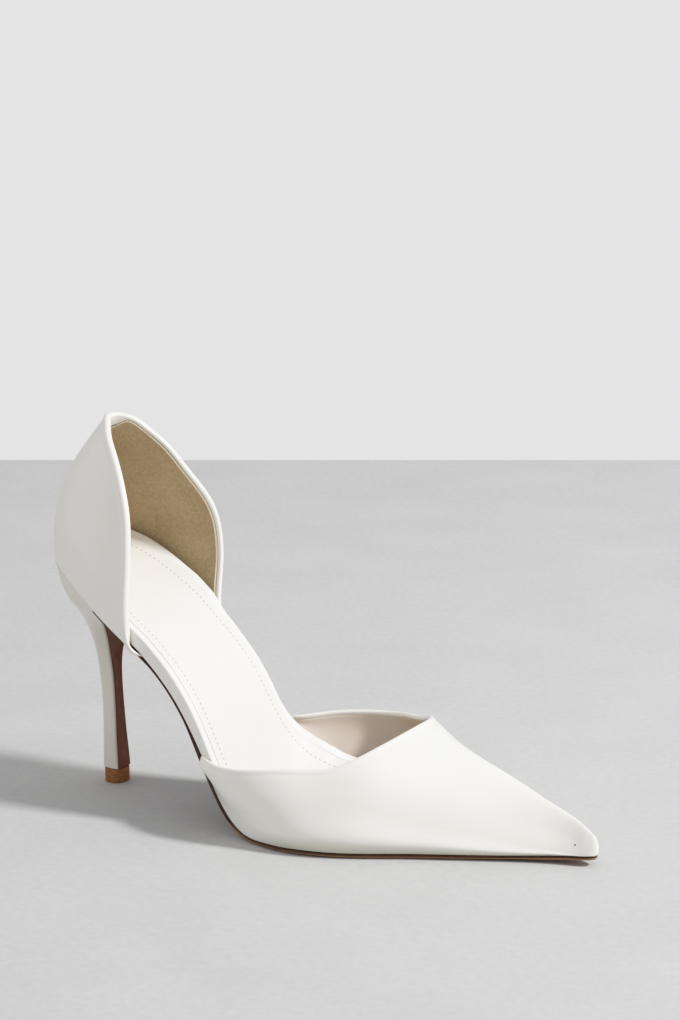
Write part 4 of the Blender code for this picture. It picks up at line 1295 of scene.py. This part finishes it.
# %% Outsole
OUTSOLE_BACK_X = 9.6
OUTSOLE_BOW = 3.0
OUTSOLE_BOW_REACH = 24.0
OUTSOLE_INSET = columns_of(
    "x inset",
    (
        (24.0, 0.7),
        (36.0, 2.2),
        (54.0, 2.2),
        (62.0, 1.5),
        (76.0, 0.7),
        (96.0, 0.7),
        (116.0, 1.2),
        (180.0, 1.2),
        (200.0, 0.5),
        (208.0, 0.0),
        (214.0, 0.0),
    ),
)
TAN_REACH = (70.0, 84.0)
TREAD_START = (84.0, 98.0)
TREAD_END = (178.0, 198.0)
EDGE_DEPTH = np.array([0.0, 0.25, 0.5, 0.75, 0.93, 1.0])
EDGE_DRAW = np.array([0.1, 0.0, 0.0, 0.04, 0.2, 0.45])
TREAD_DEPTH = np.array([0.0, 0.25, 0.5, 0.64, 0.7, 1.0])
TREAD_DRAW = np.array([0.1, 0.0, 0.0, 0.12, 1.8, 3.2])
OUTSOLE_TOE_CLEAR = 0.1
OUTSOLE_STATIONS = 220
OUTSOLE_COLUMNS = 17
DRAW_FULL_WIDE = 8.0
UPPER_WIDE = 0.985
LOWER_WIDE = 0.9


def outsole_inset(x):
    return np.interp(x, OUTSOLE_INSET["x"], OUTSOLE_INSET["inset"])


def build_outsole():
    toe_x = TOE_END_X - OUTSOLE_TOE_CLEAR
    outline = inset_outline(outsole_inset, OUTSOLE_BACK_X, toe_x, OUTSOLE_STATIONS)
    x, low, high = (part[:, None] for part in outline)
    top = -GAP / 2.0
    thick = bottom_measure("sole", x)
    inner = np.linspace(-1.0, 1.0, OUTSOLE_COLUMNS)[None, 1:-1]
    tread = smooth_part(x, TREAD_START) * (1.0 - smooth_part(x, TREAD_END))
    depth = EDGE_DEPTH[None] * (1.0 - tread) + TREAD_DEPTH[None] * tread
    draw = EDGE_DRAW[None] * (1.0 - tread) + TREAD_DRAW[None] * tread
    draw = draw * np.minimum(1.0, (high - low) / DRAW_FULL_WIDE)
    middle, half = 0.5 * (low + high), 0.5 * (high - low)
    upper = middle + half * inner * UPPER_WIDE
    lower = middle - half * inner * LOWER_WIDE
    y = np.concatenate([upper, high - draw, lower, (low + draw)[:, ::-1]], axis=1)
    flat = np.zeros_like(upper)
    deep = np.concatenate([flat, depth, flat + 1.0, depth[:, ::-1]], axis=1)
    bow = OUTSOLE_BOW * fade(x - OUTSOLE_BACK_X, OUTSOLE_BOW_REACH) ** 2
    bow = bow * (1.0 - np.clip((y - middle) / half, -1.0, 1.0) ** 2)
    rings = rib_points(x - bow, y, top - thick * deep)
    return ring_piece("outsole_edge", rings, marks={"depth": deep * smooth_part(x, TAN_REACH)})


build_outsole()

# %% [markdown]
# The heel is a moulded block covered in patent, slim at the waist and broad under the counter. It is one
# spline through rings, from the small top piece up to the seat, because no single profile turned or
# extruded would give both ends. Its front, the breast, is hollowed a little between two round corners.

# %% Heel
HEEL_RINGS = (
    # z, tilt, back x, front x, half width, hollow
    (6.3, 0.0, -5.8, 2.2, 4.9, 0.0),
    (12.0, 0.0, -5.75, 1.8, 4.65, 0.05),
    (19.0, 0.0, -5.7, 1.3, 4.3, 0.1),
    (28.0, 0.0, -5.75, 0.85, 3.85, 0.15),
    (37.0, 0.1, -6.2, 0.4, 3.6, 0.2),
    (46.0, 0.3, -7.1, 0.0, 3.75, 0.35),
    (55.0, 0.8, -8.3, -0.2, 5.1, 0.55),
    (64.0, 1.8, -10.4, 0.8, 8.3, 0.9),
    (73.0, 3.7, -13.4, 2.9, 13.8, 1.6),
    (82.0, 7.6, -17.7, 6.0, 20.6, 2.4),
)
HEEL_ROUND = 2.0 / 2.5
HEEL_COLUMNS = 72
BREAST_COLUMNS = 16
HEEL_LEVELS = 90
COVER_WRAP = 1.0
CORNER_ROUND = 0.8
BREAST_X = 9.0
SEAT_DRAW = 0.25
SEAT_HOLLOW = 3.0
HEEL_SHARP = 50.0
CORNER_POINTS = 6
TURN = np.linspace(-math.pi / 2.0, math.pi / 2.0, HEEL_COLUMNS + 1)
FRONT = np.linspace(1.0, -1.0, BREAST_COLUMNS + 1)
BEND = np.linspace(0.0, math.pi / 2.0, CORNER_POINTS)[1:-1]
BREAST_START = HEEL_COLUMNS + 1 + len(BEND)


def breast_front(front, outer, inner, hollow):
    """The rounded corner, the hollowed breast and the other rounded corner, in the plane of a ring."""
    x = front - CORNER_ROUND * (1.0 - np.sin(BEND))
    slip = CORNER_ROUND * (1.0 - np.cos(BEND))
    breast = np.where(FRONT > 0.0, (inner - CORNER_ROUND) * FRONT, -(outer + CORNER_ROUND) * FRONT)
    hollowed = front - hollow * (1.0 - FRONT**2)
    y = np.concatenate([inner - slip, breast, (outer + slip)[::-1]])
    return np.concatenate([x, hollowed, x[::-1]]), y


def round_back(back, front):
    """x along the round from the outer to the inner corner, over the back."""
    side = front - CORNER_ROUND
    return side - (side - back) * np.abs(np.cos(TURN)) ** HEEL_ROUND


def heel_ring(z, tilt, back, front, half, hollow):
    """Round the back from the outer to the inner corner, then across the breast."""
    front = front + COVER_WRAP
    front_x, front_y = breast_front(front, -half, half, hollow)
    x = np.concatenate([round_back(back, front), front_x])
    y = np.concatenate([half * power(np.sin(TURN), HEEL_ROUND), front_y])
    return np.stack([x, y, z - tilt * (x - back) / (front - back)], axis=1)


def seat_ring():
    """The uppermost ring, which follows the outline under the counter."""
    x = round_back(HEEL_BACK_X + SEAT_DRAW, BREAST_X)
    outer, inner = (outline_y(x - 0.25 * SEAT_DRAW, side) for side in (-1, 1))
    y = np.where(TURN > 0.0, inner, outer) - SEAT_DRAW * np.sin(TURN)
    y[HEEL_COLUMNS // 2] = 0.0
    corner = [float(outline_y(BREAST_X - CORNER_ROUND, side)) - side * SEAT_DRAW for side in (-1, 1)]
    front_x, front_y = breast_front(BREAST_X, *corner, SEAT_HOLLOW)
    x, y = np.concatenate([x, front_x]), np.concatenate([y, front_y])
    return np.stack([x, y, floor_z(x, y, -GAP / 2.0)], axis=1)


HEEL_STACK = np.array([heel_ring(*row) for row in HEEL_RINGS] + [seat_ring()])
HEEL_REACH = np.linalg.norm(np.diff(HEEL_STACK, axis=0), axis=2).mean(axis=1)
HEEL_TALL = np.concatenate([[0.0], np.cumsum(HEEL_REACH)])
HEEL_AT = spline(HEEL_TALL, HEEL_STACK)


def build_heel():
    levels = np.linspace(0.0, HEEL_TALL[-1], HEEL_LEVELS)
    return ring_piece("heel_cover", HEEL_AT(levels), sharp=HEEL_SHARP)


build_heel()

# %% [markdown]
# The breast's brown covering is a thin strip that follows the heel's front up to the underside of the
# outsole. It takes the lines of the heel itself, so that it lies on it everywhere, and thins to its edges.

# %% Breast
BREAST_SAMPLES = 600
BREAST_CLEAR_X = 1.0
BREAST_CLEAR = 1.5 * GAP
BREAST_NEAR = np.array([0.02, 0.0, 0.0])
BREAST_THICK = np.array([0.34, 0.0, 0.0])
BREAST_THIN = 0.6
BREAST_THIN_POWER = 12


def breast_line(column):
    """One line up the breast, as far as the underside of the outsole."""
    fine = HEEL_AT(np.linspace(0.0, HEEL_TALL[-1], BREAST_SAMPLES))[:, BREAST_START + column]
    sole = bottom_measure("sole", fine[:, 0])
    clear = fine[:, 2] < floor_z(fine[:, 0] + BREAST_CLEAR_X, fine[:, 1], -BREAST_CLEAR - sole)
    fine = fine[: max(int(np.argmin(clear)), 2)] if not clear.all() else fine
    return fine[np.linspace(0, len(fine) - 1, HEEL_LEVELS).astype(int)]


def build_breast():
    lines = np.array([breast_line(column) for column in range(BREAST_COLUMNS + 1)]).transpose(1, 0, 2)
    across = np.linspace(-1.0, 1.0, BREAST_COLUMNS + 1)[None, :, None]
    far = lines + BREAST_THICK * (1.0 - BREAST_THIN * across**BREAST_THIN_POWER)
    return ring_piece("breast_cover", np.concatenate([lines + BREAST_NEAR, far[:, ::-1]], axis=1))


build_breast()

# %% [markdown]
# The top piece is the small block of rubber that the heel stands on. A bevelled cylinder would nearly do,
# but its plan is a rounded square, so it is a few level rings, drawn in at the top and the bottom.

# %% Top piece
TOP_PIECE = {"middle": -0.3, "deep": 4.5, "half": 4.85, "round": 2.0 / 2.5}
TOP_PIECE_SIDES = 96
TOP_LEVELS = (
    # z, how far the ring is drawn in
    (0.0, 0.4),
    (0.12, 0.15),
    (0.4, 0.0),
    (3.0, 0.0),
    (5.6, 0.0),
    (5.88, 0.12),
    (6.0, 0.35),
)


def build_top_piece():
    turn = full_turn(TOP_PIECE_SIDES)
    rings = []
    for z, inset in TOP_LEVELS:
        x = TOP_PIECE["middle"] + (TOP_PIECE["deep"] - inset) * power(np.cos(turn), TOP_PIECE["round"])
        y = (TOP_PIECE["half"] - inset) * power(np.sin(turn), TOP_PIECE["round"])
        rings.append(np.stack([x, y, np.full_like(x, z)], axis=1))
    return ring_piece("top_piece_block", rings)


build_top_piece()

# %% [markdown]
# Each material starts from what the real one is. Colours are written as they look on a screen and turned
# to linear light by one function. A second small function adds a node, sets it and links it. Grain that is
# too fine to show at the size of the picture is drawn about 1 mm wide, coarser than the real one.

# %% Colours and nodes
def colour(code):
    """A colour such as F2F0EA, as linear red, green, blue and alpha."""
    parts = [int(code[place : place + 2], 16) / 255.0 for place in (0, 2, 4)]
    linear = [part / 12.92 if part <= 0.04045 else ((part + 0.055) / 1.055) ** 2.4 for part in parts]
    return (*linear, 1.0)


def add_node(tree, kind, inputs, **settings):
    """Adds a node with its settings, and sets or links its inputs."""
    made = tree.nodes.new(kind)
    for key, value in settings.items():
        setattr(made, key, value)
    for key, value in inputs.items():
        if isinstance(value, bpy.types.NodeSocket):
            tree.links.new(value, made.inputs[key])
        else:
            made.inputs[key].default_value = value
    return made


def start_material(name):
    """A new material with its tree, its shader and its Object coordinates in metres."""
    material = bpy.data.materials.new(name)
    material.use_nodes = True
    tree = material.node_tree
    shader = tree.nodes["Principled BSDF"]
    place = add_node(tree, "ShaderNodeTexCoord", {}).outputs["Object"]
    return material, tree, shader, place


def per_mm(size):
    """Texture scale of a pattern whose grain is about this many millimetres wide."""
    return 1.0 / (size * MM)


# %% [markdown]
# Patent leather is leather or cloth under a thick gloss of resin. The eye sees an off-white body under a
# clear coat that is smooth but not flat: it has a faint orange peel, and broad soft highlights. The band
# where the vamp turns under to the sole is painted darker, as painted shade and painted reflection of the
# shadow under the shoe, and the mesh keeps a mark for it.

# %% Patent
def patent_leather(name, light, dark):
    material, tree, shader, place = start_material(name)
    cloud = add_node(tree, "ShaderNodeTexNoise", {"Vector": place, "Scale": per_mm(26.0), "Detail": 3.0})
    tint = add_node(
        tree,
        "ShaderNodeMix",
        {"Factor": cloud.outputs["Fac"], "A": colour(light), "B": colour(dark)},
        data_type="RGBA",
    )
    # Painted shade and reflection: the marked band low on the vamp is mixed towards a darker grey.
    painted_shade_band = add_node(tree, "ShaderNodeAttribute", {}, attribute_name="painted_shade_band")
    painted_shade_tone = add_node(
        tree,
        "ShaderNodeMix",
        {"Factor": painted_shade_band.outputs["Fac"], "A": tint.outputs["Result"], "B": colour("BDBBA9")},
        data_type="RGBA",
    )
    tree.links.new(painted_shade_tone.outputs["Result"], shader.inputs["Base Color"])
    gloss = add_node(
        tree,
        "ShaderNodeMapRange",
        {"Value": cloud.outputs["Fac"], "To Min": 0.3, "To Max": 0.42},
    )
    tree.links.new(gloss.outputs["Result"], shader.inputs["Roughness"])
    peel = add_node(tree, "ShaderNodeTexNoise", {"Vector": place, "Scale": per_mm(2.2), "Detail": 2.0})
    bump = add_node(
        tree, "ShaderNodeBump", {"Height": peel.outputs["Fac"], "Strength": 0.12, "Distance": 0.0002}
    )
    tree.links.new(bump.outputs["Normal"], shader.inputs["Normal"])
    shader.inputs["IOR"].default_value = 1.5
    shader.inputs["Coat Weight"].default_value = 0.45
    shader.inputs["Coat Roughness"].default_value = 0.16
    return material


PATENT = patent_leather("off_white_patent_leather", "F4F2EC", "EFECE4")
# The heel takes the same white patent with darker tones: painted shade, because the heel stands in shadow.
SHADED_HEEL_PATENT = patent_leather("painted_shade_heel_patent", "E6E1D7", "DED8CC")

# %% [markdown]
# The cover of the insole and the sock are a thinner coated leather with a satin finish: a fine even grain
# and a wide soft sheen. The vamp's lining is of the same kind, with painted shade under the throat, a
# deeper tone where the mesh keeps a mark for it. The lining's turned edge is of this kind too.

# %% Satin cover and sock
def satin_leather(name, light, dark, rough, deep=None):
    """A coated leather of two close tones, and a deeper tone of painted shade where the mesh is marked for
    it.
    """
    material, tree, shader, place = start_material(name)
    grain = add_node(tree, "ShaderNodeTexNoise", {"Vector": place, "Scale": per_mm(0.9), "Detail": 4.0})
    cloud = add_node(tree, "ShaderNodeTexNoise", {"Vector": place, "Scale": per_mm(18.0), "Detail": 2.0})
    tint = add_node(
        tree,
        "ShaderNodeMix",
        {"Factor": cloud.outputs["Fac"], "A": colour(light), "B": colour(dark)},
        data_type="RGBA",
    )
    if deep:
        # Painted shade: the marked places are mixed towards the deep colour.
        shade = add_node(tree, "ShaderNodeAttribute", {}, attribute_name="shade")
        tint = add_node(
            tree,
            "ShaderNodeMix",
            {"Factor": shade.outputs["Fac"], "A": tint.outputs["Result"], "B": colour(deep)},
            data_type="RGBA",
        )
    tree.links.new(tint.outputs["Result"], shader.inputs["Base Color"])
    bump = add_node(
        tree, "ShaderNodeBump", {"Height": grain.outputs["Fac"], "Strength": 0.18, "Distance": 0.0001}
    )
    tree.links.new(bump.outputs["Normal"], shader.inputs["Normal"])
    shader.inputs["Roughness"].default_value = rough
    shader.inputs["IOR"].default_value = 1.48
    return material


COVER = satin_leather("white_coated_cover", "F4F3EF", "EFEDE6", 0.36)
SOCK = satin_leather("white_satin_sock", "EEEBE5", "E8E3DB", 0.4)
# The lining's deep colour is painted shade, under the throat where less light comes in.
VAMP_LINING = satin_leather("greige_satin_lining", "E4D8CC", "D6C8BA", 0.42, "BCA891")
CREAM = satin_leather("cream_turned_edge", "FAF2E0", "F4E8CE", 0.5)

# %% [markdown]
# The counter is lined with a brushed cloth the colour of sand. The short nap scatters the light, so it has
# no gloss and a finely mottled colour. In the groove beside the turned edge, where the mesh keeps a mark,
# it is painted dark as painted shade in the recess.

# %% Brushed lining
def brushed_lining():
    material, tree, shader, place = start_material("sand_brushed_lining")
    cloud = add_node(tree, "ShaderNodeTexNoise", {"Vector": place, "Scale": per_mm(14.0), "Detail": 3.0})
    nap = add_node(tree, "ShaderNodeTexNoise", {"Vector": place, "Scale": per_mm(1.0), "Detail": 5.0})
    mixed = add_node(
        tree,
        "ShaderNodeMix",
        {"Factor": 0.62, "A": cloud.outputs["Fac"], "B": nap.outputs["Fac"]},
        data_type="FLOAT",
    )
    tint = add_node(tree, "ShaderNodeValToRGB", {"Fac": mixed.outputs["Result"]})
    tint.color_ramp.elements[0].position = 0.34
    tint.color_ramp.elements[0].color = colour("A5916D")
    tint.color_ramp.elements[1].position = 0.66
    tint.color_ramp.elements[1].color = colour("C1AB86")
    # Painted shade: the groove's mark mixes the cloth towards a dark brown.
    groove = add_node(tree, "ShaderNodeAttribute", {}, attribute_name="groove")
    shaded = add_node(
        tree,
        "ShaderNodeMix",
        {"Factor": groove.outputs["Fac"], "A": tint.outputs["Color"], "B": colour("3E3422")},
        data_type="RGBA",
    )
    tree.links.new(shaded.outputs["Result"], shader.inputs["Base Color"])
    bump = add_node(
        tree, "ShaderNodeBump", {"Height": nap.outputs["Fac"], "Strength": 0.4, "Distance": 0.0002}
    )
    tree.links.new(bump.outputs["Normal"], shader.inputs["Normal"])
    shader.inputs["Roughness"].default_value = 0.92
    shader.inputs["Sheen Weight"].default_value = 0.25
    shader.inputs["Sheen Roughness"].default_value = 0.5
    return material


BRUSHED = brushed_lining()

# %% [markdown]
# The sole and the breast are brown coated board, and the top piece is a moulded rubber block with level
# streaks. The sole's edge is darker above and rubbed lighter below, so its colour follows the depth kept
# in the mesh. The dents of the stitches and the pinhole are painted shade: plain mottled grey and dark
# tones, made by the same function.

# %% Brown finishes
def brown_finish(name, dark, light, rough, size, flat=1.0):
    """A mottled tone, its grain flattened so many times to level streaks."""
    material, tree, shader, place = start_material(name)
    place = add_node(tree, "ShaderNodeMapping", {"Vector": place, "Scale": (1.0, 1.0, flat)}).outputs[0]
    grain = add_node(tree, "ShaderNodeTexNoise", {"Vector": place, "Scale": per_mm(size), "Detail": 4.0})
    tint = add_node(tree, "ShaderNodeValToRGB", {"Fac": grain.outputs["Fac"]})
    tint.color_ramp.elements[0].position = 0.3
    tint.color_ramp.elements[0].color = colour(dark)
    tint.color_ramp.elements[1].position = 0.75
    tint.color_ramp.elements[1].color = colour(light)
    tree.links.new(tint.outputs["Color"], shader.inputs["Base Color"])
    bump = add_node(
        tree, "ShaderNodeBump", {"Height": grain.outputs["Fac"], "Strength": 0.15, "Distance": 0.0001}
    )
    tree.links.new(bump.outputs["Normal"], shader.inputs["Normal"])
    shader.inputs["Roughness"].default_value = rough
    shader.inputs["Specular IOR Level"].default_value = 0.16
    return material, tree, shader, tint


def sole_finish():
    material, tree, shader, tint = brown_finish("brown_coated_sole", "3E281C", "553828", 0.45, 3.0)
    depth = add_node(tree, "ShaderNodeAttribute", {}, attribute_name="depth")
    step = add_node(
        tree,
        "ShaderNodeMapRange",
        {"Value": depth.outputs["Fac"], "From Min": 0.36, "From Max": 0.5},
    )
    edge = add_node(
        tree,
        "ShaderNodeMix",
        {"Factor": step.outputs["Result"], "A": tint.outputs["Color"], "B": colour("94704F")},
        data_type="RGBA",
    )
    tree.links.new(edge.outputs["Result"], shader.inputs["Base Color"])
    return material


SOLE = sole_finish()
BREAST = brown_finish("brown_coated_breast", "70402A", "8C5236", 0.55, 4.0)[0]
RUBBER = brown_finish("tan_moulded_rubber", "85522D", "B07A4C", 0.6, 2.4, 6.0)[0]
# Painted shade of the stitch holes and of the pinhole.
STITCH = brown_finish("grey_sewn_dent", "9A958E", "B4AFA8", 0.8, 1.0)[0]
HOLE = brown_finish("dark_pinhole", "2E2C28", "3A3833", 0.9, 1.0)[0]

# %% [markdown]
# Every piece gets its material and rides on the frame's one body. Eight of them stand for a solid. The
# linings, the cream edge, the curls, the stitches and the pinhole don't: they lie on pieces that do.

# %% Dress the frame
DRESS = (
    # piece, material, solid, slot
    ("vamp_patent", PATENT, "vamp", "white_patent"),
    ("counter_patent", PATENT, "counter", "white_patent"),
    ("heel_cover", SHADED_HEEL_PATENT, "heel", "white_patent"),
    ("insole_cover", COVER, "insole", "white_cover"),
    ("sock_cover", SOCK, "sock", "white_sock"),
    ("outsole_edge", SOLE, "outsole", "brown_sole"),
    ("breast_cover", BREAST, "heel_breast", "brown_breast"),
    ("top_piece_block", RUBBER, "top_piece", "tan_top_piece"),
    ("vamp_lining", VAMP_LINING, None, None),
    ("counter_lining", BRUSHED, None, None),
    ("counter_edge_line", CREAM, None, None),
    ("counter_curl_outer", PATENT, None, None),
    ("counter_curl_inner", PATENT, None, None),
    ("sock_stitches", STITCH, None, None),
    ("vamp_pinhole", HOLE, None, None),
)
for piece_name, material, solid, slot in DRESS:
    piece = PIECES[piece_name]
    piece.data.materials.clear()
    piece.data.materials.append(material)
    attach(piece, "root")
    if solid:
        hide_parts(solid)
print("dressed", len(DRESS), "pieces")

# %% [markdown]
# The shoe stands on a pale grey floor with a plain light background. The camera was fitted to the
# photograph, so it is given by its angles, its distance and the point that it looks at.

# %% Camera
def axes_matrix(x_axis, y_axis, z_axis, spot):
    """The matrix of an object with these three axes, at this spot."""
    placed = np.eye(4)
    placed[:3] = np.stack([x_axis, y_axis, z_axis, spot], axis=1)
    return Matrix(placed.tolist())


FOCAL_PIXELS = 3173.2
FRAME_TALL = 1020
AZIMUTH, ELEVATION, ROLL = (math.radians(angle) for angle in (31.4, 13.5, -0.4))
DISTANCE = 1493.5
TARGET = np.array([-41.4, 241.7, 57.0])
back = np.array(
    [
        math.sin(AZIMUTH) * math.cos(ELEVATION),
        -math.cos(AZIMUTH) * math.cos(ELEVATION),
        math.sin(ELEVATION),
    ]
)
right = np.array([math.cos(AZIMUTH), math.sin(AZIMUTH), 0.0])
into = np.array([-math.sin(AZIMUTH), math.cos(AZIMUTH), 0.0])
up = np.cross(back, right)
turned_right = right * math.cos(ROLL) + up * math.sin(ROLL)
turned_up = up * math.cos(ROLL) - right * math.sin(ROLL)
eye = (TARGET + back * DISTANCE + SHIFT) * MM
camera_data = bpy.data.cameras.new("photo_camera")
camera = bpy.data.objects.new("photo_camera", camera_data)
bpy.context.scene.collection.objects.link(camera)
camera.matrix_world = axes_matrix(turned_right, turned_up, back, eye)
camera_data.sensor_fit = "VERTICAL"
camera_data.sensor_height = 36.0
camera_data.lens = FOCAL_PIXELS / FRAME_TALL * camera_data.sensor_height
camera_data.clip_start = 0.01
bpy.context.scene.camera = camera
print("camera at", [round(float(value), 3) for value in eye])

# %% [markdown]
# The floor is one plane that ends in a straight edge behind the shoe, turned so that the edge is level in
# the picture. It is smooth grey concrete: faint clouds, and fine specks.

# %% Floor
FLOOR_DEEP = 4.0
FLOOR_HALF_WIDE = 2.8
FLOOR_EDGE = 1.815
LEVEL_TURN = 0.0325
FLOOR_CORNERS = ((-1, -1), (1, -1), (-1, 0), (1, 0))
deselect()
bpy.ops.mesh.primitive_plane_add(size=FLOOR_DEEP)
floor = bpy.context.object
floor.name = "pale_floor"
sideways = right - into * LEVEL_TURN
far_edge = eye + into * FLOOR_EDGE
for corner, (across_floor, depth) in zip(floor.data.vertices, FLOOR_CORNERS):
    spot = far_edge + sideways * across_floor * FLOOR_HALF_WIDE + into * depth * FLOOR_DEEP
    corner.co = (float(spot[0]), float(spot[1]), 0.0)
material, tree, shader, place = start_material("pale_grey_floor")
cloud = add_node(tree, "ShaderNodeTexNoise", {"Vector": place, "Scale": per_mm(60.0), "Detail": 6.0})
speck = add_node(tree, "ShaderNodeTexNoise", {"Vector": place, "Scale": per_mm(3.5), "Detail": 5.0})
mottle = add_node(
    tree,
    "ShaderNodeMix",
    {"Factor": 0.55, "A": cloud.outputs["Fac"], "B": speck.outputs["Fac"]},
    data_type="FLOAT",
)
tint = add_node(
    tree,
    "ShaderNodeMix",
    {"Factor": mottle.outputs["Result"], "A": colour("D3D3D3"), "B": colour("B1B1B1")},
    data_type="RGBA",
)
tree.links.new(tint.outputs["Result"], shader.inputs["Base Color"])
shader.inputs["Roughness"].default_value = 0.7
floor.data.materials.append(material)

# %% [markdown]
# A camera rolls off its brightest tones, so that white leather in strong light keeps its shape. A tone
# curve over Blender's Standard view does the same: it follows the light up to a third and bends after that.

# %% Tone
TONE_WHITE = 2.0
TONE = (
    # light, as shown
    (0.0, 0.0),
    (0.3, 0.3),
    (0.6, 0.585),
    (0.8, 0.73),
    (1.0, 0.85),
    (1.2, 0.925),
    (1.5, 0.965),
    (2.0, 0.985),
)
scene = bpy.context.scene
scene.view_settings.view_transform = "Standard"
scene.view_settings.use_curve_mapping = True
tone = scene.view_settings.curve_mapping
tone.white_level = (TONE_WHITE, TONE_WHITE, TONE_WHITE)
tone_line = tone.curves[3]
tone_line.points[0].location = TONE[0]
tone_line.points[1].location = (1.0, TONE[-1][1])
for light_in, light_out in TONE[1:-1]:
    tone_line.points.new(light_in / TONE_WHITE, light_out)
tone.update()
print("tone curve with", len(tone_line.points), "points")

# %% [markdown]
# The light is soft: an even fill from all round, one square lamp from the right, whose shadows run to the
# left on the floor, and a broad weak one from the left that lifts the back of the heel. The background
# shows brighter than the fill that it gives, as a lit studio wall does.

# %% Light
FILL_STRENGTH = 0.79
WALL_STRENGTH = 1.14
LIT_SPOT = np.array([0.0, 0.0, 0.05])
world = bpy.data.worlds.new("soft_studio")
scene.world = world
world.use_nodes = True
tree = world.node_tree
seen = add_node(tree, "ShaderNodeLightPath", {}).outputs["Is Camera Ray"]
strength = add_node(
    tree, "ShaderNodeMix", {"Factor": seen, "A": FILL_STRENGTH, "B": WALL_STRENGTH}, data_type="FLOAT"
)
sky = tree.nodes["Background"]
sky.inputs["Color"].default_value = colour("E2E2E2")
tree.links.new(strength.outputs["Result"], sky.inputs["Strength"])


def area_light(name, direction, distance, size, power_watts):
    """A square soft light in the given direction from the shoe, turned to face it."""
    light = bpy.data.lights.new(name, "AREA")
    light.size = size
    light.energy = power_watts
    item = bpy.data.objects.new(name, light)
    scene.collection.objects.link(item)
    away = unit(direction)
    level = unit(np.cross(UPRIGHT, away))
    spot = LIT_SPOT + away * distance
    item.matrix_world = axes_matrix(level, np.cross(away, level), away, spot)
    print(name, "at", [round(float(value), 2) for value in spot])


LAMPS = (
    # name, right, into the picture, up, distance, size, power in watts
    ("key_light", 0.96, -0.28, 0.84, 2.2, 0.3, 48.5),
    ("side_light", -0.95, 0.2, 0.3, 2.0, 1.2, 2.4),
)
for lamp, rightward, inward, upward, distance, size, power_watts in LAMPS:
    direction = right * rightward + into * inward + UPRIGHT * upward
    area_light(lamp, direction, distance, size, power_watts)
